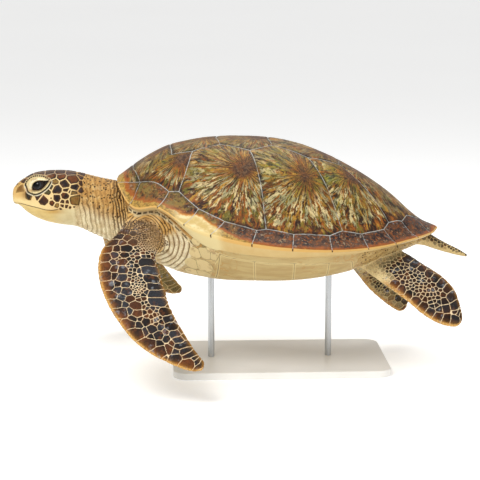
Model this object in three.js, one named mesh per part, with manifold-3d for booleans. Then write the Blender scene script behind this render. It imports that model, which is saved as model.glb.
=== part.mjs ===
// Green sea turtle (Chelonia mydas), life size, swimming, on a plain display stand.
// Millimetres. The turtle swims toward -X, its left side faces -Y, and +Z is up.
// Heights of the animal are measured from the level of its shell's rear rim, RIM_LEVEL above
// the underside of the stand, which is the object's origin.

import * as THREE from 'three';
import { mergeVertices } from 'three/addons/utils/BufferGeometryUtils.js';
import Module from 'manifold-3d';

const wasm = await Module();
wasm.setup();

const RIM_LEVEL = 380;
const GAP = 0.3;
const LEFT = -1;
const RIGHT = 1;

// ---------------------------------------------------------------- driving dimensions

// Upper shell: plan outline as [x, half width], then heights and the cross section.
const SHELL_OUTLINE = [
  [-450, 0], [-446, 70], [-436, 112], [-385, 200], [-300, 272], [-165, 334], [0, 350],
  [145, 318], [249, 260], [327, 195], [386, 130], [423, 70], [445, 0],
];
const RIM_HEIGHT = [
  [-450, 147], [-425, 108], [-338, 103], [-265, 62], [-165, 34], [36, 4], [249, -6], [386, 1],
  [450, 3],
];
const RIDGE_HEIGHT = [
  [-450, 149], [-386, 194], [-318, 231], [-240, 251], [-110, 260], [30, 245], [165, 193],
  [300, 108], [410, 17], [450, 3],
];
// Share of the rise from rim to ridge, against the share of the half width.
const DOME_SECTION = [[0, 1], [0.2, 0.975], [0.35, 0.9], [0.5, 0.745], [0.65, 0.51], [0.8, 0.235],
  [0.9, 0.1], [1, 0]];
// Height of the edge's side face: deep where the shell joins the bridge, thin elsewhere.
const EDGE_DROP = [[-450, 8], [-340, 10], [-285, 18], [-238, 38], [-113, 36], [0, 29], [113, 17],
  [220, 9], [450, 7]];
const EDGE_INSET = 4;
const EDGE_LEAN = 0.4;
const SHELL_THICKNESS = 14;
const INNER_RINGS = [0.93, 0.82, 0.66, 0.45, 0.22];
const SCUTE_RAISE = 2.6;
const SCUTE_BEVEL = 6;
const BEVEL_SHARE = 0.4;
const SCUTE_STEP = 42;

// Corners of the scutes on one side, as [x, distance from the midline].
// seam: where the rib scutes meet the rim scutes. spine: where they meet the middle row.
const SCUTE_CORNERS = {
  seam0: [-386, 119], seam1: [-372, 133], seam2: [-310, 196], seam3: [-283, 201],
  seam4: [-232, 246], seam5: [-165, 284], seam6: [-81, 305], seam7: [-56, 300],
  seam8: [17, 304], seam9: [114, 283], seam10: [151, 258], seam11: [205, 241],
  seam12: [271, 191], seam13: [286, 164], seam14: [327, 128], seam15: [348, 84],
  seam16: [378, 40], seam17: [392, 0],
  spine0: [-405, 40], spine1: [-300, 88], spine2: [-243, 98], spine3: [-168, 80],
  spine4: [-88, 118], spine5: [-26, 80], spine6: [70, 106], spine7: [160, 64],
  spine8: [231, 117],
  nape: [-405, 0], ridge1: [-302, 0], ridge2: [-176, 0], ridge3: [-32, 0], ridge4: [166, 0],
};
// Places of the rim scutes' seams, as shares of the way round the rim from front to rear.
const RIM_SEAMS = [0, 0.042, 0.129, 0.222, 0.289, 0.35, 0.439, 0.525, 0.612, 0.703, 0.785, 0.864,
  0.925, 1];
// Inner corners of the twelve rim scutes, from the rear one of each to its front one.
const RIM_SCUTE_INNER = [
  ['seam0'], ['seam2', 'seam1', 'seam0'], ['seam4', 'seam3', 'seam2'], ['seam5', 'seam4'],
  ['seam6', 'seam5'], ['seam8', 'seam7', 'seam6'], ['seam9', 'seam8'],
  ['seam11', 'seam10', 'seam9'], ['seam12', 'seam11'], ['seam14', 'seam13', 'seam12'],
  ['seam16', 'seam15', 'seam14'], ['seam17', 'seam16'],
];
const RIB_SCUTES = [
  ['seam1', 'spine1', 'spine2', 'seam3', 'seam2'],
  ['spine2', 'spine3', 'spine4', 'seam7', 'seam6', 'seam5', 'seam4', 'seam3'],
  ['spine4', 'spine5', 'spine6', 'seam10', 'seam9', 'seam8', 'seam7'],
  ['spine6', 'spine7', 'spine8', 'seam13', 'seam12', 'seam11', 'seam10'],
];
// The middle row, front to rear: first corner on the midline, the left side's, then the midline.
const MIDDLE_SCUTES = [
  ['rim0', 'rim1', 'seam0', 'spine0', 'nape'],
  ['nape', 'spine0', 'seam0', 'seam1', 'spine1', 'ridge1'],
  ['ridge1', 'spine1', 'spine2', 'spine3', 'ridge2'],
  ['ridge2', 'spine3', 'spine4', 'spine5', 'ridge3'],
  ['ridge3', 'spine5', 'spine6', 'spine7', 'ridge4'],
  ['ridge4', 'spine7', 'spine8', 'seam13', 'seam14', 'seam15', 'seam16', 'seam17'],
];

// Underside: height of the midline, and the bowl that rises from it to the shell's edge.
const KEEL_HEIGHT = [[-425, -40], [-360, -64], [-300, -86], [-200, -104], [-80, -108], [60, -105],
  [180, -86], [280, -58], [350, -38], [400, -24]];
const BOWL_SECTION = [[0, 0], [0.5, 0.02], [0.65, 0.1], [0.8, 0.33], [0.9, 0.62], [1, 1]];
const PLASTRON_THICKNESS = 9;
const PLASTRON_RAISE = 2.2;
const PLASTRON_STEP = 55;
// Shares of the plan for the rings of the inner face, and the edge's share of the thickness.
const PLASTRON_RINGS = [0.99, 0.92, 0.84, 0.74, 0.55, 0.3];
const PLASTRON_EDGE = 0.8;

// Corners of the lower shell's plates on one side, as [x, distance from the midline].
const PLASTRON_CORNERS = {
  mid0: [-356, 0], mid1: [-322, 0], mid2: [-286, 0], mid3: [-190, 0], mid4: [-66, 0],
  mid5: [86, 0], mid6: [212, 0], mid7: [336, 0],
  edge0: [-352, 32], edge1: [-338, 62], edge2: [-300, 112], edge3: [-226, 158],
  edge4: [-206, 196], edge5: [-196, 262], edge6: [-178, 305],
  edge7: [-88, 319], edge8: [18, 321], edge9: [112, 300], edge10: [176, 272],
  edge11: [186, 208], edge12: [206, 166], edge13: [262, 118], edge14: [326, 52],
  side0: [-186, 200], side1: [-80, 224], side2: [22, 226], side3: [112, 210], side4: [160, 190],
};
const PLASTRON_PLATES = [
  ['mid1', 'edge1', 'edge2', 'mid2'],
  ['mid2', 'edge2', 'edge3', 'edge4', 'mid3'],
  ['mid3', 'edge4', 'side0', 'side1', 'mid4'],
  ['mid4', 'side1', 'side2', 'side3', 'mid5'],
  ['mid5', 'side3', 'side4', 'edge11', 'edge12', 'mid6'],
  ['mid6', 'edge12', 'edge13', 'edge14', 'mid7'],
  ['edge4', 'edge5', 'edge6', 'side0'],
  ['side0', 'edge6', 'edge7', 'side1'],
  ['side1', 'edge7', 'edge8', 'side2'],
  ['side2', 'edge8', 'edge9', 'side3'],
  ['side3', 'edge9', 'edge10', 'edge11', 'side4'],
];
const PLASTRON_FRONT_PLATE = ['mid0', 'edge0', 'edge1', 'mid1'];
const PLASTRON_RIM = ['mid0', 'edge0', 'edge1', 'edge2', 'edge3', 'edge4', 'edge5', 'edge6', 'edge7',
  'edge8', 'edge9', 'edge10', 'edge11', 'edge12', 'edge13', 'edge14', 'mid7'];

// Body between the shells: how far it stays inside the shell's edge.
const BODY_FRONT = -428;
const BODY_REAR = 386;
const BODY_INSET = [[-428, 22], [-330, 18], [-250, 2], [180, 2], [260, 12], [386, 16]];
const BODY_ROWS = 18;
const BODY_COLUMNS = 20;
const BODY_CLEARANCE = 24;
const ROOF_LEVEL = 400;
const PLATE_ROOM = 4;

// Head and neck along the midline: heights of the top and bottom, half width.
const NAPE_TOP = [[-738, 112], [-736, 121], [-731, 129], [-716, 143], [-701, 153], [-685, 162],
  [-652, 170], [-610, 172], [-586, 171], [-536, 161], [-497, 151], [-450, 141], [-385, 128]];
const THROAT_BOTTOM = [[-738, 94], [-736, 85], [-731, 80], [-724, 79], [-716, 74], [-701, 60],
  [-685, 49], [-652, 34], [-610, 24], [-560, 16], [-517, -3], [-470, -24], [-430, -38], [-385, -46]];
const NECK_HALF_WIDTH = [[-738, 4], [-736, 12], [-731, 19], [-716, 31], [-701, 38], [-668, 52],
  [-635, 61], [-600, 66], [-570, 66], [-536, 66], [-497, 75], [-450, 95], [-385, 120]];
const HEAD_POWER = 2.3;
const HEAD_TAPER = 0.1;
const HEAD_STEPS = 28;
const HEAD_SIDES = 24;
// Rings are closer together at the snout by this power.
const HEAD_CROWDING = 1.35;

const MOUTH_FRONT = -724;
const MOUTH_LINE = [[-724, 84], [-715, 84], [-692, 80], [-670, 76], [-640, 70], [-621, 71]];
const MOUTH_CORNER = [-621, 71];
const JAW_BACK = [-596, -20];
const MOUTH_GAP = 0.8;
const MOUTH_STEPS = 12;
const JAW_REACH = 120;

const EYE_RADIUS = 20;
const EYE_DETAIL = 3;
const EYE_CENTRE = [-664, 33, 134];
const EYE_AXIS = [-0.2, 0.9, 0.34];
const LID_RADIUS = 23.5;
const LID_SLANT = 0.42;
const LID_OPENING_WIDTH = 44;
const LID_OPENING_HEIGHT = 25;
const LID_OPENING_DEPTH = 60;
const NOSTRIL_RADIUS = 3.2;
const NOSTRIL_PLACE = [-729, 9, 129];
const NOSTRIL_AXIS = [-0.75, 0.35, 0.55];
const NOSTRIL_DEPTH = 14;

// Flippers: leading and trailing edge of each station as [x, distance from midline, z], thickness.
const FRONT_FLIPPER = [
  { lead: [-398, 110, 66], trail: [-268, 110, 0], thick: 104 },
  { lead: [-428, 180, 52], trail: [-296, 190, -6], thick: 94 },
  { lead: [-450, 229, 26], trail: [-334, 248, -10], thick: 76 },
  { lead: [-486, 264, -2], trail: [-348, 286, -24], thick: 54 },
  { lead: [-498, 306, -33], trail: [-340, 327, -51], thick: 38 },
  { lead: [-494, 352, -74], trail: [-328, 365, -88], thick: 30 },
  { lead: [-474, 400, -120], trail: [-315, 404, -127], thick: 25 },
  { lead: [-448, 428, -160], trail: [-298, 428, -160], thick: 21 },
  { lead: [-408, 456, -206], trail: [-279, 449, -190], thick: 17 },
  { lead: [-354, 480, -243], trail: [-258, 470, -222], thick: 13 },
  { lead: [-292, 495, -270], trail: [-239, 484, -246], thick: 10 },
  { lead: [-256, 499, -280], trail: [-229, 490, -258], thick: 7 },
  { lead: [-234, 500, -278], trail: [-228, 496, -270], thick: 5 },
];
const REAR_FLIPPER_LEFT = [
  { lead: [168, 110, -56], trail: [285, 60, -20], thick: 64 },
  { lead: [200, 178, -64], trail: [306, 135, -28], thick: 58 },
  { lead: [240, 228, -90], trail: [338, 168, -42], thick: 44 },
  { lead: [283, 260, -119], trail: [372, 196, -62], thick: 33 },
  { lead: [325, 286, -148], trail: [405, 222, -80], thick: 25 },
  { lead: [365, 303, -181], trail: [431, 246, -98], thick: 19 },
  { lead: [405, 312, -203], trail: [452, 270, -122], thick: 15 },
  { lead: [440, 314, -212], trail: [463, 292, -156], thick: 11 },
  { lead: [457, 312, -210], trail: [468, 300, -179], thick: 7 },
  { lead: [465, 308, -203], trail: [469, 304, -193], thick: 5 },
];
const REAR_FLIPPER_RIGHT = [
  { lead: [158, 80, -60], trail: [285, 60, -20], thick: 64 },
  { lead: [192, 112, -92], trail: [306, 120, -36], thick: 56 },
  { lead: [222, 134, -136], trail: [338, 140, -66], thick: 42 },
  { lead: [248, 152, -170], trail: [368, 158, -104], thick: 32 },
  { lead: [275, 171, -204], trail: [390, 174, -144], thick: 24 },
  { lead: [310, 192, -238], trail: [404, 190, -184], thick: 18 },
  { lead: [344, 210, -266], trail: [404, 204, -224], thick: 13 },
  { lead: [368, 218, -281], trail: [396, 214, -252], thick: 9 },
  { lead: [383, 221, -280], trail: [392, 219, -267], thick: 6 },
];
// The right front flipper's tip is this far forward of the left one's mirror image. Its stations
// move by a rising share of that from one station on, over a span of stations.
const RIGHT_SWING = 34;
const SWING_FROM = 4;
const SWING_SPAN = 3;
const FLIPPER_STEPS = 2;
const FLIPPER_SIDES = 16;
const FLIPPER_EDGE = 3;
// Thin sections: how far their blunt front rises, and how fast they fall behind it.
const WING_RISE = 1.45;
const WING_FALL = 0.8;

const TAIL = [
  { at: [325, 0, -22], wide: 46, tall: 32 },
  { at: [370, 0, -17], wide: 38, tall: 28 },
  { at: [404, 0, -24], wide: 29, tall: 22 },
  { at: [437, 0, -40], wide: 20, tall: 17 },
  { at: [471, 0, -55], wide: 14, tall: 12.5 },
  { at: [505, 0, -68], wide: 9, tall: 8.5 },
  { at: [530, 0, -78], wide: 3, tall: 3 },
];
const TAIL_SIDES = 16;
const TAIL_POWER = 2.1;

// Cuts that part the animal: a point, the direction across the cut, and the cut's half sizes.
const CUTS = [
  { at: [-431, 0, 46], across: [1, 0, 0], reach: [150, 150] },
  { at: [-566, 0, 84], across: [1, 0, 0.12], reach: [110, 130] },
  { at: [-382, LEFT * 224, 24], across: [-0.35, LEFT * 0.93, -0.1], reach: [112, 150] },
  { at: [-382, RIGHT * 224, 24], across: [-0.35, RIGHT * 0.93, -0.1], reach: [112, 150] },
  { at: [272, LEFT * 195, -46], across: [0.44, LEFT * 0.5, -0.75], reach: [130, 130] },
  { at: [262, RIGHT * 128, -84], across: [0.45, RIGHT * 0.3, -0.84], reach: [92, 110] },
  { at: [396, 0, -26], across: [1, 0, -0.3], reach: [60, 60] },
];
// Slivers below this volume are no pieces.
const SLIVER = 1000;
// A point inside each parted piece.
const PIECES = {
  torso: [0, 0, 40],
  neck: [-490, 0, 66],
  head: [-650, 0, 120],
  front_flipper_left: [-400, LEFT * 400, -120],
  front_flipper_right: [-400, RIGHT * 400, -120],
  rear_flipper_left: [380, LEFT * 260, -120],
  rear_flipper_right: [330, RIGHT * 180, -190],
  tail: [460, 0, -50],
};

const BASE_LENGTH = 600;
const BASE_WIDTH = 400;
const BASE_HEIGHT = 20;
const BASE_CORNER = 40;
const BASE_BEVEL = 3;
const ROD_RADIUS = 9;
const ROD_SIDES = 24;
const ROD_PLACES = { front: -190, rear: 140 };
const PAD_RADIUS = 30;
const PAD_HEIGHT = 26;
const PAD_FLARE = 4;
const PAD_OVERLAP = 2;

// Colour, roughness and metalness of each node's surface.
const FINISH = {
  carapace: [0x6b4a2c, 0.45, 0],
  plastron: [0xd8c79a, 0.5, 0],
  skin: [0xb59a6a, 0.6, 0],
  flipper: [0x5b5043, 0.55, 0],
  head: [0xa8885a, 0.55, 0],
  eye: [0x14110e, 0.08, 0],
  stand: [0xe6e3dc, 0.5, 0],
  steel: [0xb8babd, 0.3, 1],
};

// ---------------------------------------------------------------- curves and surfaces

// Smooth curve through [x, y] knots: cubic pieces with slopes weighted by the knots' spacing.
function spline(knots) {
  const last = knots.length - 1;
  const rise = (i) => (knots[i + 1][1] - knots[i][1]) / (knots[i + 1][0] - knots[i][0]);
  const width = (i) => knots[i + 1][0] - knots[i][0];
  const slopes = knots.map((_, i) => {
    if (i === 0) return rise(0);
    if (i === last) return rise(last - 1);
    return (rise(i - 1) * width(i) + rise(i) * width(i - 1)) / (width(i - 1) + width(i));
  });
  return (x) => {
    const q = Math.min(Math.max(x, knots[0][0]), knots[last][0]);
    let i = 0;
    while (i < last - 1 && q > knots[i + 1][0]) i += 1;
    const h = width(i);
    const t = (q - knots[i][0]) / h;
    const fall = (1 + 2 * t) * (1 - t) ** 2;
    return knots[i][1] * fall + knots[i + 1][1] * (1 - fall)
      + slopes[i] * h * t * (1 - t) ** 2 + slopes[i + 1] * h * t * t * (t - 1);
  };
}

// The rim as a curve: share of the way from front to rear -> [x, half width].
function curveAlong(points) {
  const lengths = [0];
  for (let i = 1; i < points.length; i += 1) {
    const step = Math.hypot(points[i][0] - points[i - 1][0], points[i][1] - points[i - 1][1]);
    lengths.push(lengths[i - 1] + step);
  }
  const total = lengths[lengths.length - 1];
  const xOf = spline(points.map((point, i) => [lengths[i] / total, point[0]]));
  const yOf = spline(points.map((point, i) => [lengths[i] / total, point[1]]));
  return (share) => [xOf(share), Math.max(yOf(share), 0)];
}

const rimPoint = curveAlong(SHELL_OUTLINE);
const RIM_SAMPLES = Array.from({ length: 801 }, (_, i) => rimPoint(i / 800));

function halfWidth(x) {
  let i = 1;
  while (i < RIM_SAMPLES.length - 1 && RIM_SAMPLES[i][0] < x) i += 1;
  const [x0, y0] = RIM_SAMPLES[i - 1];
  const [x1, y1] = RIM_SAMPLES[i];
  const t = Math.min(Math.max((x - x0) / Math.max(x1 - x0, 1e-6), 0), 1);
  return y0 + (y1 - y0) * t;
}

const rimHeight = spline(RIM_HEIGHT);
const ridgeHeight = spline(RIDGE_HEIGHT);
const domeSection = spline(DOME_SECTION);
const edgeDrop = spline(EDGE_DROP);
const keelHeight = spline(KEEL_HEIGHT);
const bowlSection = spline(BOWL_SECTION);
const bodyInset = spline(BODY_INSET);

const edgeInset = (x) => EDGE_INSET + EDGE_LEAN * edgeDrop(x);
const lowerRim = (x) => rimHeight(x) - edgeDrop(x);

function shellTop(x, y) {
  const share = Math.min(Math.abs(y) / Math.max(halfWidth(x), 1), 1);
  return rimHeight(x) + (ridgeHeight(x) - rimHeight(x)) * domeSection(share);
}

function bellyHeight(x, y) {
  const reach = Math.max(halfWidth(x) - edgeInset(x), 1);
  const share = Math.min(Math.abs(y) / reach, 1);
  return keelHeight(x) + (lowerRim(x) - keelHeight(x)) * bowlSection(share);
}

// ---------------------------------------------------------------- meshes and solids

function geometryOf(triangles) {
  const geometry = new THREE.BufferGeometry();
  geometry.setAttribute('position', new THREE.Float32BufferAttribute(triangles.flat(2), 3));
  return mergeVertices(geometry, 1e-3);
}

function solidOf(geometry) {
  const bare = new THREE.BufferGeometry();
  const source = geometry.index ? geometry.toNonIndexed() : geometry;
  bare.setAttribute('position', source.getAttribute('position'));
  const merged = mergeVertices(bare, 1e-3);
  return new wasm.Manifold(new wasm.Mesh({
    numProp: 3,
    vertProperties: new Float32Array(merged.getAttribute('position').array),
    triVerts: new Uint32Array(merged.index.array),
  }));
}

function geometryFrom(solid) {
  const { numProp, vertProperties, triVerts } = solid.getMesh();
  const positions = [];
  for (let i = 0; i < vertProperties.length; i += numProp) {
    positions.push(vertProperties[i], vertProperties[i + 1], vertProperties[i + 2]);
  }
  const geometry = new THREE.BufferGeometry();
  geometry.setAttribute('position', new THREE.Float32BufferAttribute(positions, 3));
  geometry.setIndex([...triVerts]);
  return geometry;
}

// Strip of triangles between two closed rings, outward when the rings run anticlockwise.
function band(upper, lower) {
  return upper.flatMap((point, i) => {
    const next = (i + 1) % upper.length;
    return [[point, lower[i], lower[next]], [point, lower[next], upper[next]]];
  });
}

function fan(ring, centre) {
  return ring.map((point, i) => [point, centre, ring[(i + 1) % ring.length]]);
}

const flipped = (triangles) => triangles.map(([a, b, c]) => [a, c, b]);

function placed(geometry, axis, at) {
  const turn = new THREE.Quaternion().setFromUnitVectors(
    new THREE.Vector3(0, 0, 1),
    new THREE.Vector3(...axis).normalize(),
  );
  return geometry.applyQuaternion(turn).translate(...at);
}

// ---------------------------------------------------------------- plated shells

// Points along the edge from one corner to the next, without the last one.
function edgePoints(from, to, step) {
  const length = Math.hypot(to.x - from.x, to.y - from.y);
  const count = Math.max(1, Math.round(length / step));
  return Array.from({ length: count }, (_, i) => {
    const t = i / count;
    if (from.rim !== undefined && to.rim !== undefined) {
      const [x, y] = rimPoint(from.rim + (to.rim - from.rim) * t);
      return [x, y * from.side];
    }
    return [from.x + (to.x - from.x) * t, from.y + (to.y - from.y) * t];
  });
}

function outlineOf(corners, step) {
  const points = corners.flatMap((corner, i) => (
    edgePoints(corner, corners[(i + 1) % corners.length], step)));
  const area = points.reduce((sum, [x, y], i) => {
    const [nextX, nextY] = points[(i + 1) % points.length];
    return sum + x * nextY - nextX * y;
  }, 0);
  return area > 0 ? points : points.reverse();
}

// One raised plate: its edge lies in the groove, then a bevel, then rings to its middle.
function plateTriangles(corners, surface, raise, step) {
  const border = outlineOf(corners, step);
  const middle = [0, 1].map((axis) => (
    border.reduce((sum, point) => sum + point[axis], 0) / border.length));
  const lift = ([x, y], height) => [x, y, surface(x, y) + height];
  const shrunk = border.map(([x, y]) => {
    const reach = Math.hypot(middle[0] - x, middle[1] - y);
    const t = Math.min(SCUTE_BEVEL / reach, BEVEL_SHARE);
    return [x + (middle[0] - x) * t, y + (middle[1] - y) * t];
  });
  const size = Math.max(...border.map(([x, y]) => Math.hypot(middle[0] - x, middle[1] - y)));
  const ringCount = Math.max(0, Math.round(size / step) - 1);
  const rings = [border.map((point) => lift(point, 0)), shrunk.map((point) => lift(point, raise))];
  for (let k = 1; k <= ringCount; k += 1) {
    const t = k / (ringCount + 1);
    rings.push(shrunk.map(([x, y]) => (
      lift([x + (middle[0] - x) * t, y + (middle[1] - y) * t], raise))));
  }
  const triangles = rings.slice(1).flatMap((ring, i) => band(rings[i], ring));
  return flipped([...triangles, ...fan(rings[rings.length - 1], lift(middle, raise))]);
}

const shellCorner = (side) => (name) => {
  if (name.startsWith('rim')) {
    const share = RIM_SEAMS[Number(name.slice(3))];
    const [x, y] = rimPoint(share);
    return { x, y: y * side, rim: share, side };
  }
  const [x, y] = SCUTE_CORNERS[name];
  return { x, y: y * side, side };
};

// Both halves of a plate that crosses the midline, as one ring of corners.
function bothSides(names, cornerOf) {
  const left = names.map(cornerOf(LEFT));
  const right = names.map(cornerOf(RIGHT)).reverse();
  return [...left, ...right.filter((corner) => Math.abs(corner.y) > 1e-6)];
}

function carapacePlates() {
  const sides = [LEFT, RIGHT].flatMap((side) => [
    ...RIM_SCUTE_INNER.map((inner, i) => [`rim${i + 1}`, `rim${i + 2}`, ...inner]),
    ...RIB_SCUTES,
  ].map((names) => names.map(shellCorner(side))));
  return [...sides, ...MIDDLE_SCUTES.map((names) => bothSides(names, shellCorner))];
}

// The rim's points in order, anticlockwise from above, as [x, y].
function rimRing() {
  const names = RIM_SEAMS.map((_, i) => `rim${i}`);
  const along = (side) => names.map(shellCorner(side));
  const left = along(LEFT);
  const right = along(RIGHT).reverse();
  const walk = (corners) => corners.slice(1).flatMap((corner, i) => (
    edgePoints(corners[i], corner, SCUTE_STEP)));
  return [...walk(left), ...walk(right)];
}

// Rings of the shell's edge and inner face, from the rim inward. grow moves the rim out and the
// rest down, most where the inner face is steep.
function shellRings(grow) {
  const ring = rimRing();
  const inward = ([x, y], distance) => {
    const length = Math.hypot(x, y);
    const share = 1 - distance / length;
    return [x * share, y * share];
  };
  const rim = ring.map(([x, y]) => [...inward([x, y], -grow), shellTop(x, y) - grow * 0.5]);
  const edge = ring.map(([x, y]) => [...inward([x, y], edgeInset(x)), lowerRim(x) - 3 * grow]);
  const inner = INNER_RINGS.map((share) => edge.map(([x, y]) => {
    const px = x * share;
    const py = y * share;
    const drop = SHELL_THICKNESS + grow * (1 + 2 * share ** 6);
    return [px, py, shellTop(px, py) - drop];
  }));
  return [rim, edge, ...inner];
}

function shellUnderside(grow) {
  const rings = shellRings(grow);
  const triangles = rings.slice(1).flatMap((ring, i) => band(rings[i], ring));
  const centre = [0, 0, shellTop(0, 0) - SHELL_THICKNESS - grow];
  return { rim: rings[0], triangles: [...triangles, ...fan(rings[rings.length - 1], centre)] };
}

function carapaceGeometry() {
  const top = carapacePlates().flatMap((corners) => (
    plateTriangles(corners, shellTop, SCUTE_RAISE, SCUTE_STEP)));
  return geometryOf([...top, ...shellUnderside(0).triangles]);
}

// All the room that the upper shell takes, up to well above it.
function carapaceRoom() {
  const { rim, triangles } = shellUnderside(GAP + 0.05);
  const roof = rim.map(([x, y]) => [x, y, ROOF_LEVEL]);
  const cap = flipped(fan(roof, [0, 0, ROOF_LEVEL]));
  return solidOf(geometryOf([...cap, ...band(roof, rim), ...triangles]));
}

const plastronCorner = (side) => (name) => {
  const [x, y] = PLASTRON_CORNERS[name];
  return { x, y: y * side, side };
};

function plastronPlates() {
  const sides = [LEFT, RIGHT].flatMap((side) => (
    PLASTRON_PLATES.map((names) => names.map(plastronCorner(side)))));
  return [...sides, bothSides(PLASTRON_FRONT_PLATE, plastronCorner)];
}

function plastronRing() {
  const left = PLASTRON_RIM.map(plastronCorner(LEFT));
  const right = PLASTRON_RIM.map(plastronCorner(RIGHT)).reverse();
  const walk = (corners) => corners.slice(1).flatMap((corner, i) => (
    edgePoints(corners[i], corner, PLASTRON_STEP)));
  return [...walk(left), ...walk(right)];
}

// The lower shell; grow widens it, drop sinks its plates and thickness is that above the bowl.
function plastronSolid(grow, drop, thickness) {
  const lower = (x, y) => bellyHeight(x, y) - drop;
  const plates = plastronPlates().flatMap((corners) => (
    plateTriangles(corners, lower, -PLASTRON_RAISE, PLASTRON_STEP)));
  const ring = plastronRing();
  const wide = ring.map(([x, y]) => {
    const share = 1 + grow / Math.hypot(x, y);
    return [x * share, y * share];
  });
  const outer = ring.map(([x, y]) => [x, y, lower(x, y)]);
  const foot = wide.map(([x, y], i) => [x, y, outer[i][2]]);
  const rings = PLASTRON_RINGS.map((share) => wide.map(([x, y]) => {
    const px = x * share;
    const py = y * share;
    return [px, py, bellyHeight(px, py) + thickness];
  }));
  const edge = wide.map(([x, y]) => [x, y, bellyHeight(x, y) + thickness * PLASTRON_EDGE]);
  const stack = grow > 0 ? [outer, foot, edge, ...rings] : [outer, edge, ...rings];
  const inside = stack.slice(1).flatMap((next, i) => band(stack[i], next));
  const centre = [0, 0, bellyHeight(0, 0) + thickness];
  const triangles = [...plates, ...inside, ...fan(stack[stack.length - 1], centre)];
  return solidOf(geometryOf(flipped(triangles)));
}

// ---------------------------------------------------------------- soft body

// Closed body from rings of equal length, capped by a fan at each end.
function loft(rings) {
  const middleOf = (ring) => [0, 1, 2].map((axis) => (
    ring.reduce((sum, point) => sum + point[axis], 0) / ring.length));
  const walls = rings.slice(1).flatMap((ring, i) => band(rings[i], ring));
  const first = flipped(fan(rings[0], middleOf(rings[0])));
  const last = fan(rings[rings.length - 1], middleOf(rings[rings.length - 1]));
  return outwardSolid([...first, ...walls, ...last]);
}

// Signed volume of a triangle list, to know which way its faces point.
function volumeOf(triangles) {
  return triangles.reduce((sum, [a, b, c]) => sum
    + a[0] * (b[1] * c[2] - b[2] * c[1])
    - a[1] * (b[0] * c[2] - b[2] * c[0])
    + a[2] * (b[0] * c[1] - b[1] * c[0]), 0) / 6;
}

function outwardSolid(triangles) {
  return solidOf(geometryOf(volumeOf(triangles) > 0 ? triangles : flipped(triangles)));
}

// The trunk between the shells, closed well above the upper shell's inner face.
function trunk() {
  const rings = [];
  for (let row = 0; row <= BODY_ROWS; row += 1) {
    const x = BODY_FRONT + ((BODY_REAR - BODY_FRONT) * row) / BODY_ROWS;
    const reach = halfWidth(x) - edgeInset(x) - bodyInset(x);
    const spread = Array.from({ length: BODY_COLUMNS + 1 }, (_, i) => (
      reach * Math.sin((Math.PI / 2) * ((2 * i) / BODY_COLUMNS - 1))));
    const under = spread.map((y) => [x, y, bellyHeight(x, y)]);
    const over = spread.slice().reverse().map((y) => (
      [x, y, Math.max(shellTop(x, y), bellyHeight(x, y)) + BODY_CLEARANCE]));
    rings.push([...under, ...over]);
  }
  return loft(rings);
}

// Upright rounded section: wide and tall are its half sizes, power squares it and taper narrows
// its top.
function ovalRing(at, wide, tall, sides, power, taper) {
  return Array.from({ length: sides }, (_, i) => {
    const angle = (2 * Math.PI * (i + 0.5)) / sides;
    const bulge = (value) => Math.sign(value) * Math.abs(value) ** (2 / power);
    const rise = bulge(Math.sin(angle));
    const across = bulge(Math.cos(angle)) * (1 - taper * rise);
    return [at[0], at[1] + across * wide, at[2] + rise * tall];
  });
}

function headAndNeck() {
  const top = spline(NAPE_TOP);
  const bottom = spline(THROAT_BOTTOM);
  const wide = spline(NECK_HALF_WIDTH);
  const front = NAPE_TOP[0][0];
  const back = NAPE_TOP[NAPE_TOP.length - 1][0];
  const rings = [];
  for (let step = 0; step <= HEAD_STEPS; step += 1) {
    const x = front + (back - front) * (step / HEAD_STEPS) ** HEAD_CROWDING;
    const middle = (top(x) + bottom(x)) / 2;
    const tall = (top(x) - bottom(x)) / 2;
    rings.push(ovalRing([x, 0, middle], wide(x), tall, HEAD_SIDES, HEAD_POWER, HEAD_TAPER));
  }
  return loft(rings);
}

function tail() {
  return loft(TAIL.map(({ at, wide, tall }) => (
    ovalRing(at, wide, tall, TAIL_SIDES, TAIL_POWER, 0))));
}

const RIGHT_FRONT_FLIPPER = FRONT_FLIPPER.map(({ lead, trail, thick }, i) => {
  const share = Math.min(Math.max((i - SWING_FROM) / SWING_SPAN, 0), 1);
  const swung = ([x, y, z]) => [x - RIGHT_SWING * share ** 2, y, z];
  return { lead: swung(lead), trail: swung(trail), thick };
});

// A flipper: sections like a wing's, blunt in front and thin behind, along its stations.
function flipper(stations, side) {
  const track = (pick) => spline(stations.map((station, i) => [i, pick(station)]));
  const leadOf = [0, 1, 2].map((axis) => track((station) => station.lead[axis]));
  const trailOf = [0, 1, 2].map((axis) => track((station) => station.trail[axis]));
  const thickOf = track((station) => station.thick);
  const count = (stations.length - 1) * FLIPPER_STEPS;
  const ends = (t) => [leadOf, trailOf].map((curves) => (
    new THREE.Vector3(curves[0](t), side * curves[1](t), curves[2](t))));
  const rings = [];
  for (let step = 0; step <= count; step += 1) {
    const t = step / FLIPPER_STEPS;
    const [lead, trail] = ends(t);
    const before = ends(Math.max(t - 0.5, 0)).map((point) => point.clone());
    const after = ends(Math.min(t + 0.5, stations.length - 1));
    const along = after[0].add(after[1]).sub(before[0]).sub(before[1]);
    const chord = trail.clone().sub(lead);
    const normal = chord.clone().cross(along).normalize();
    rings.push(wingRing(lead, chord, normal, thickOf(t)));
  }
  return loft(rings);
}

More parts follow.
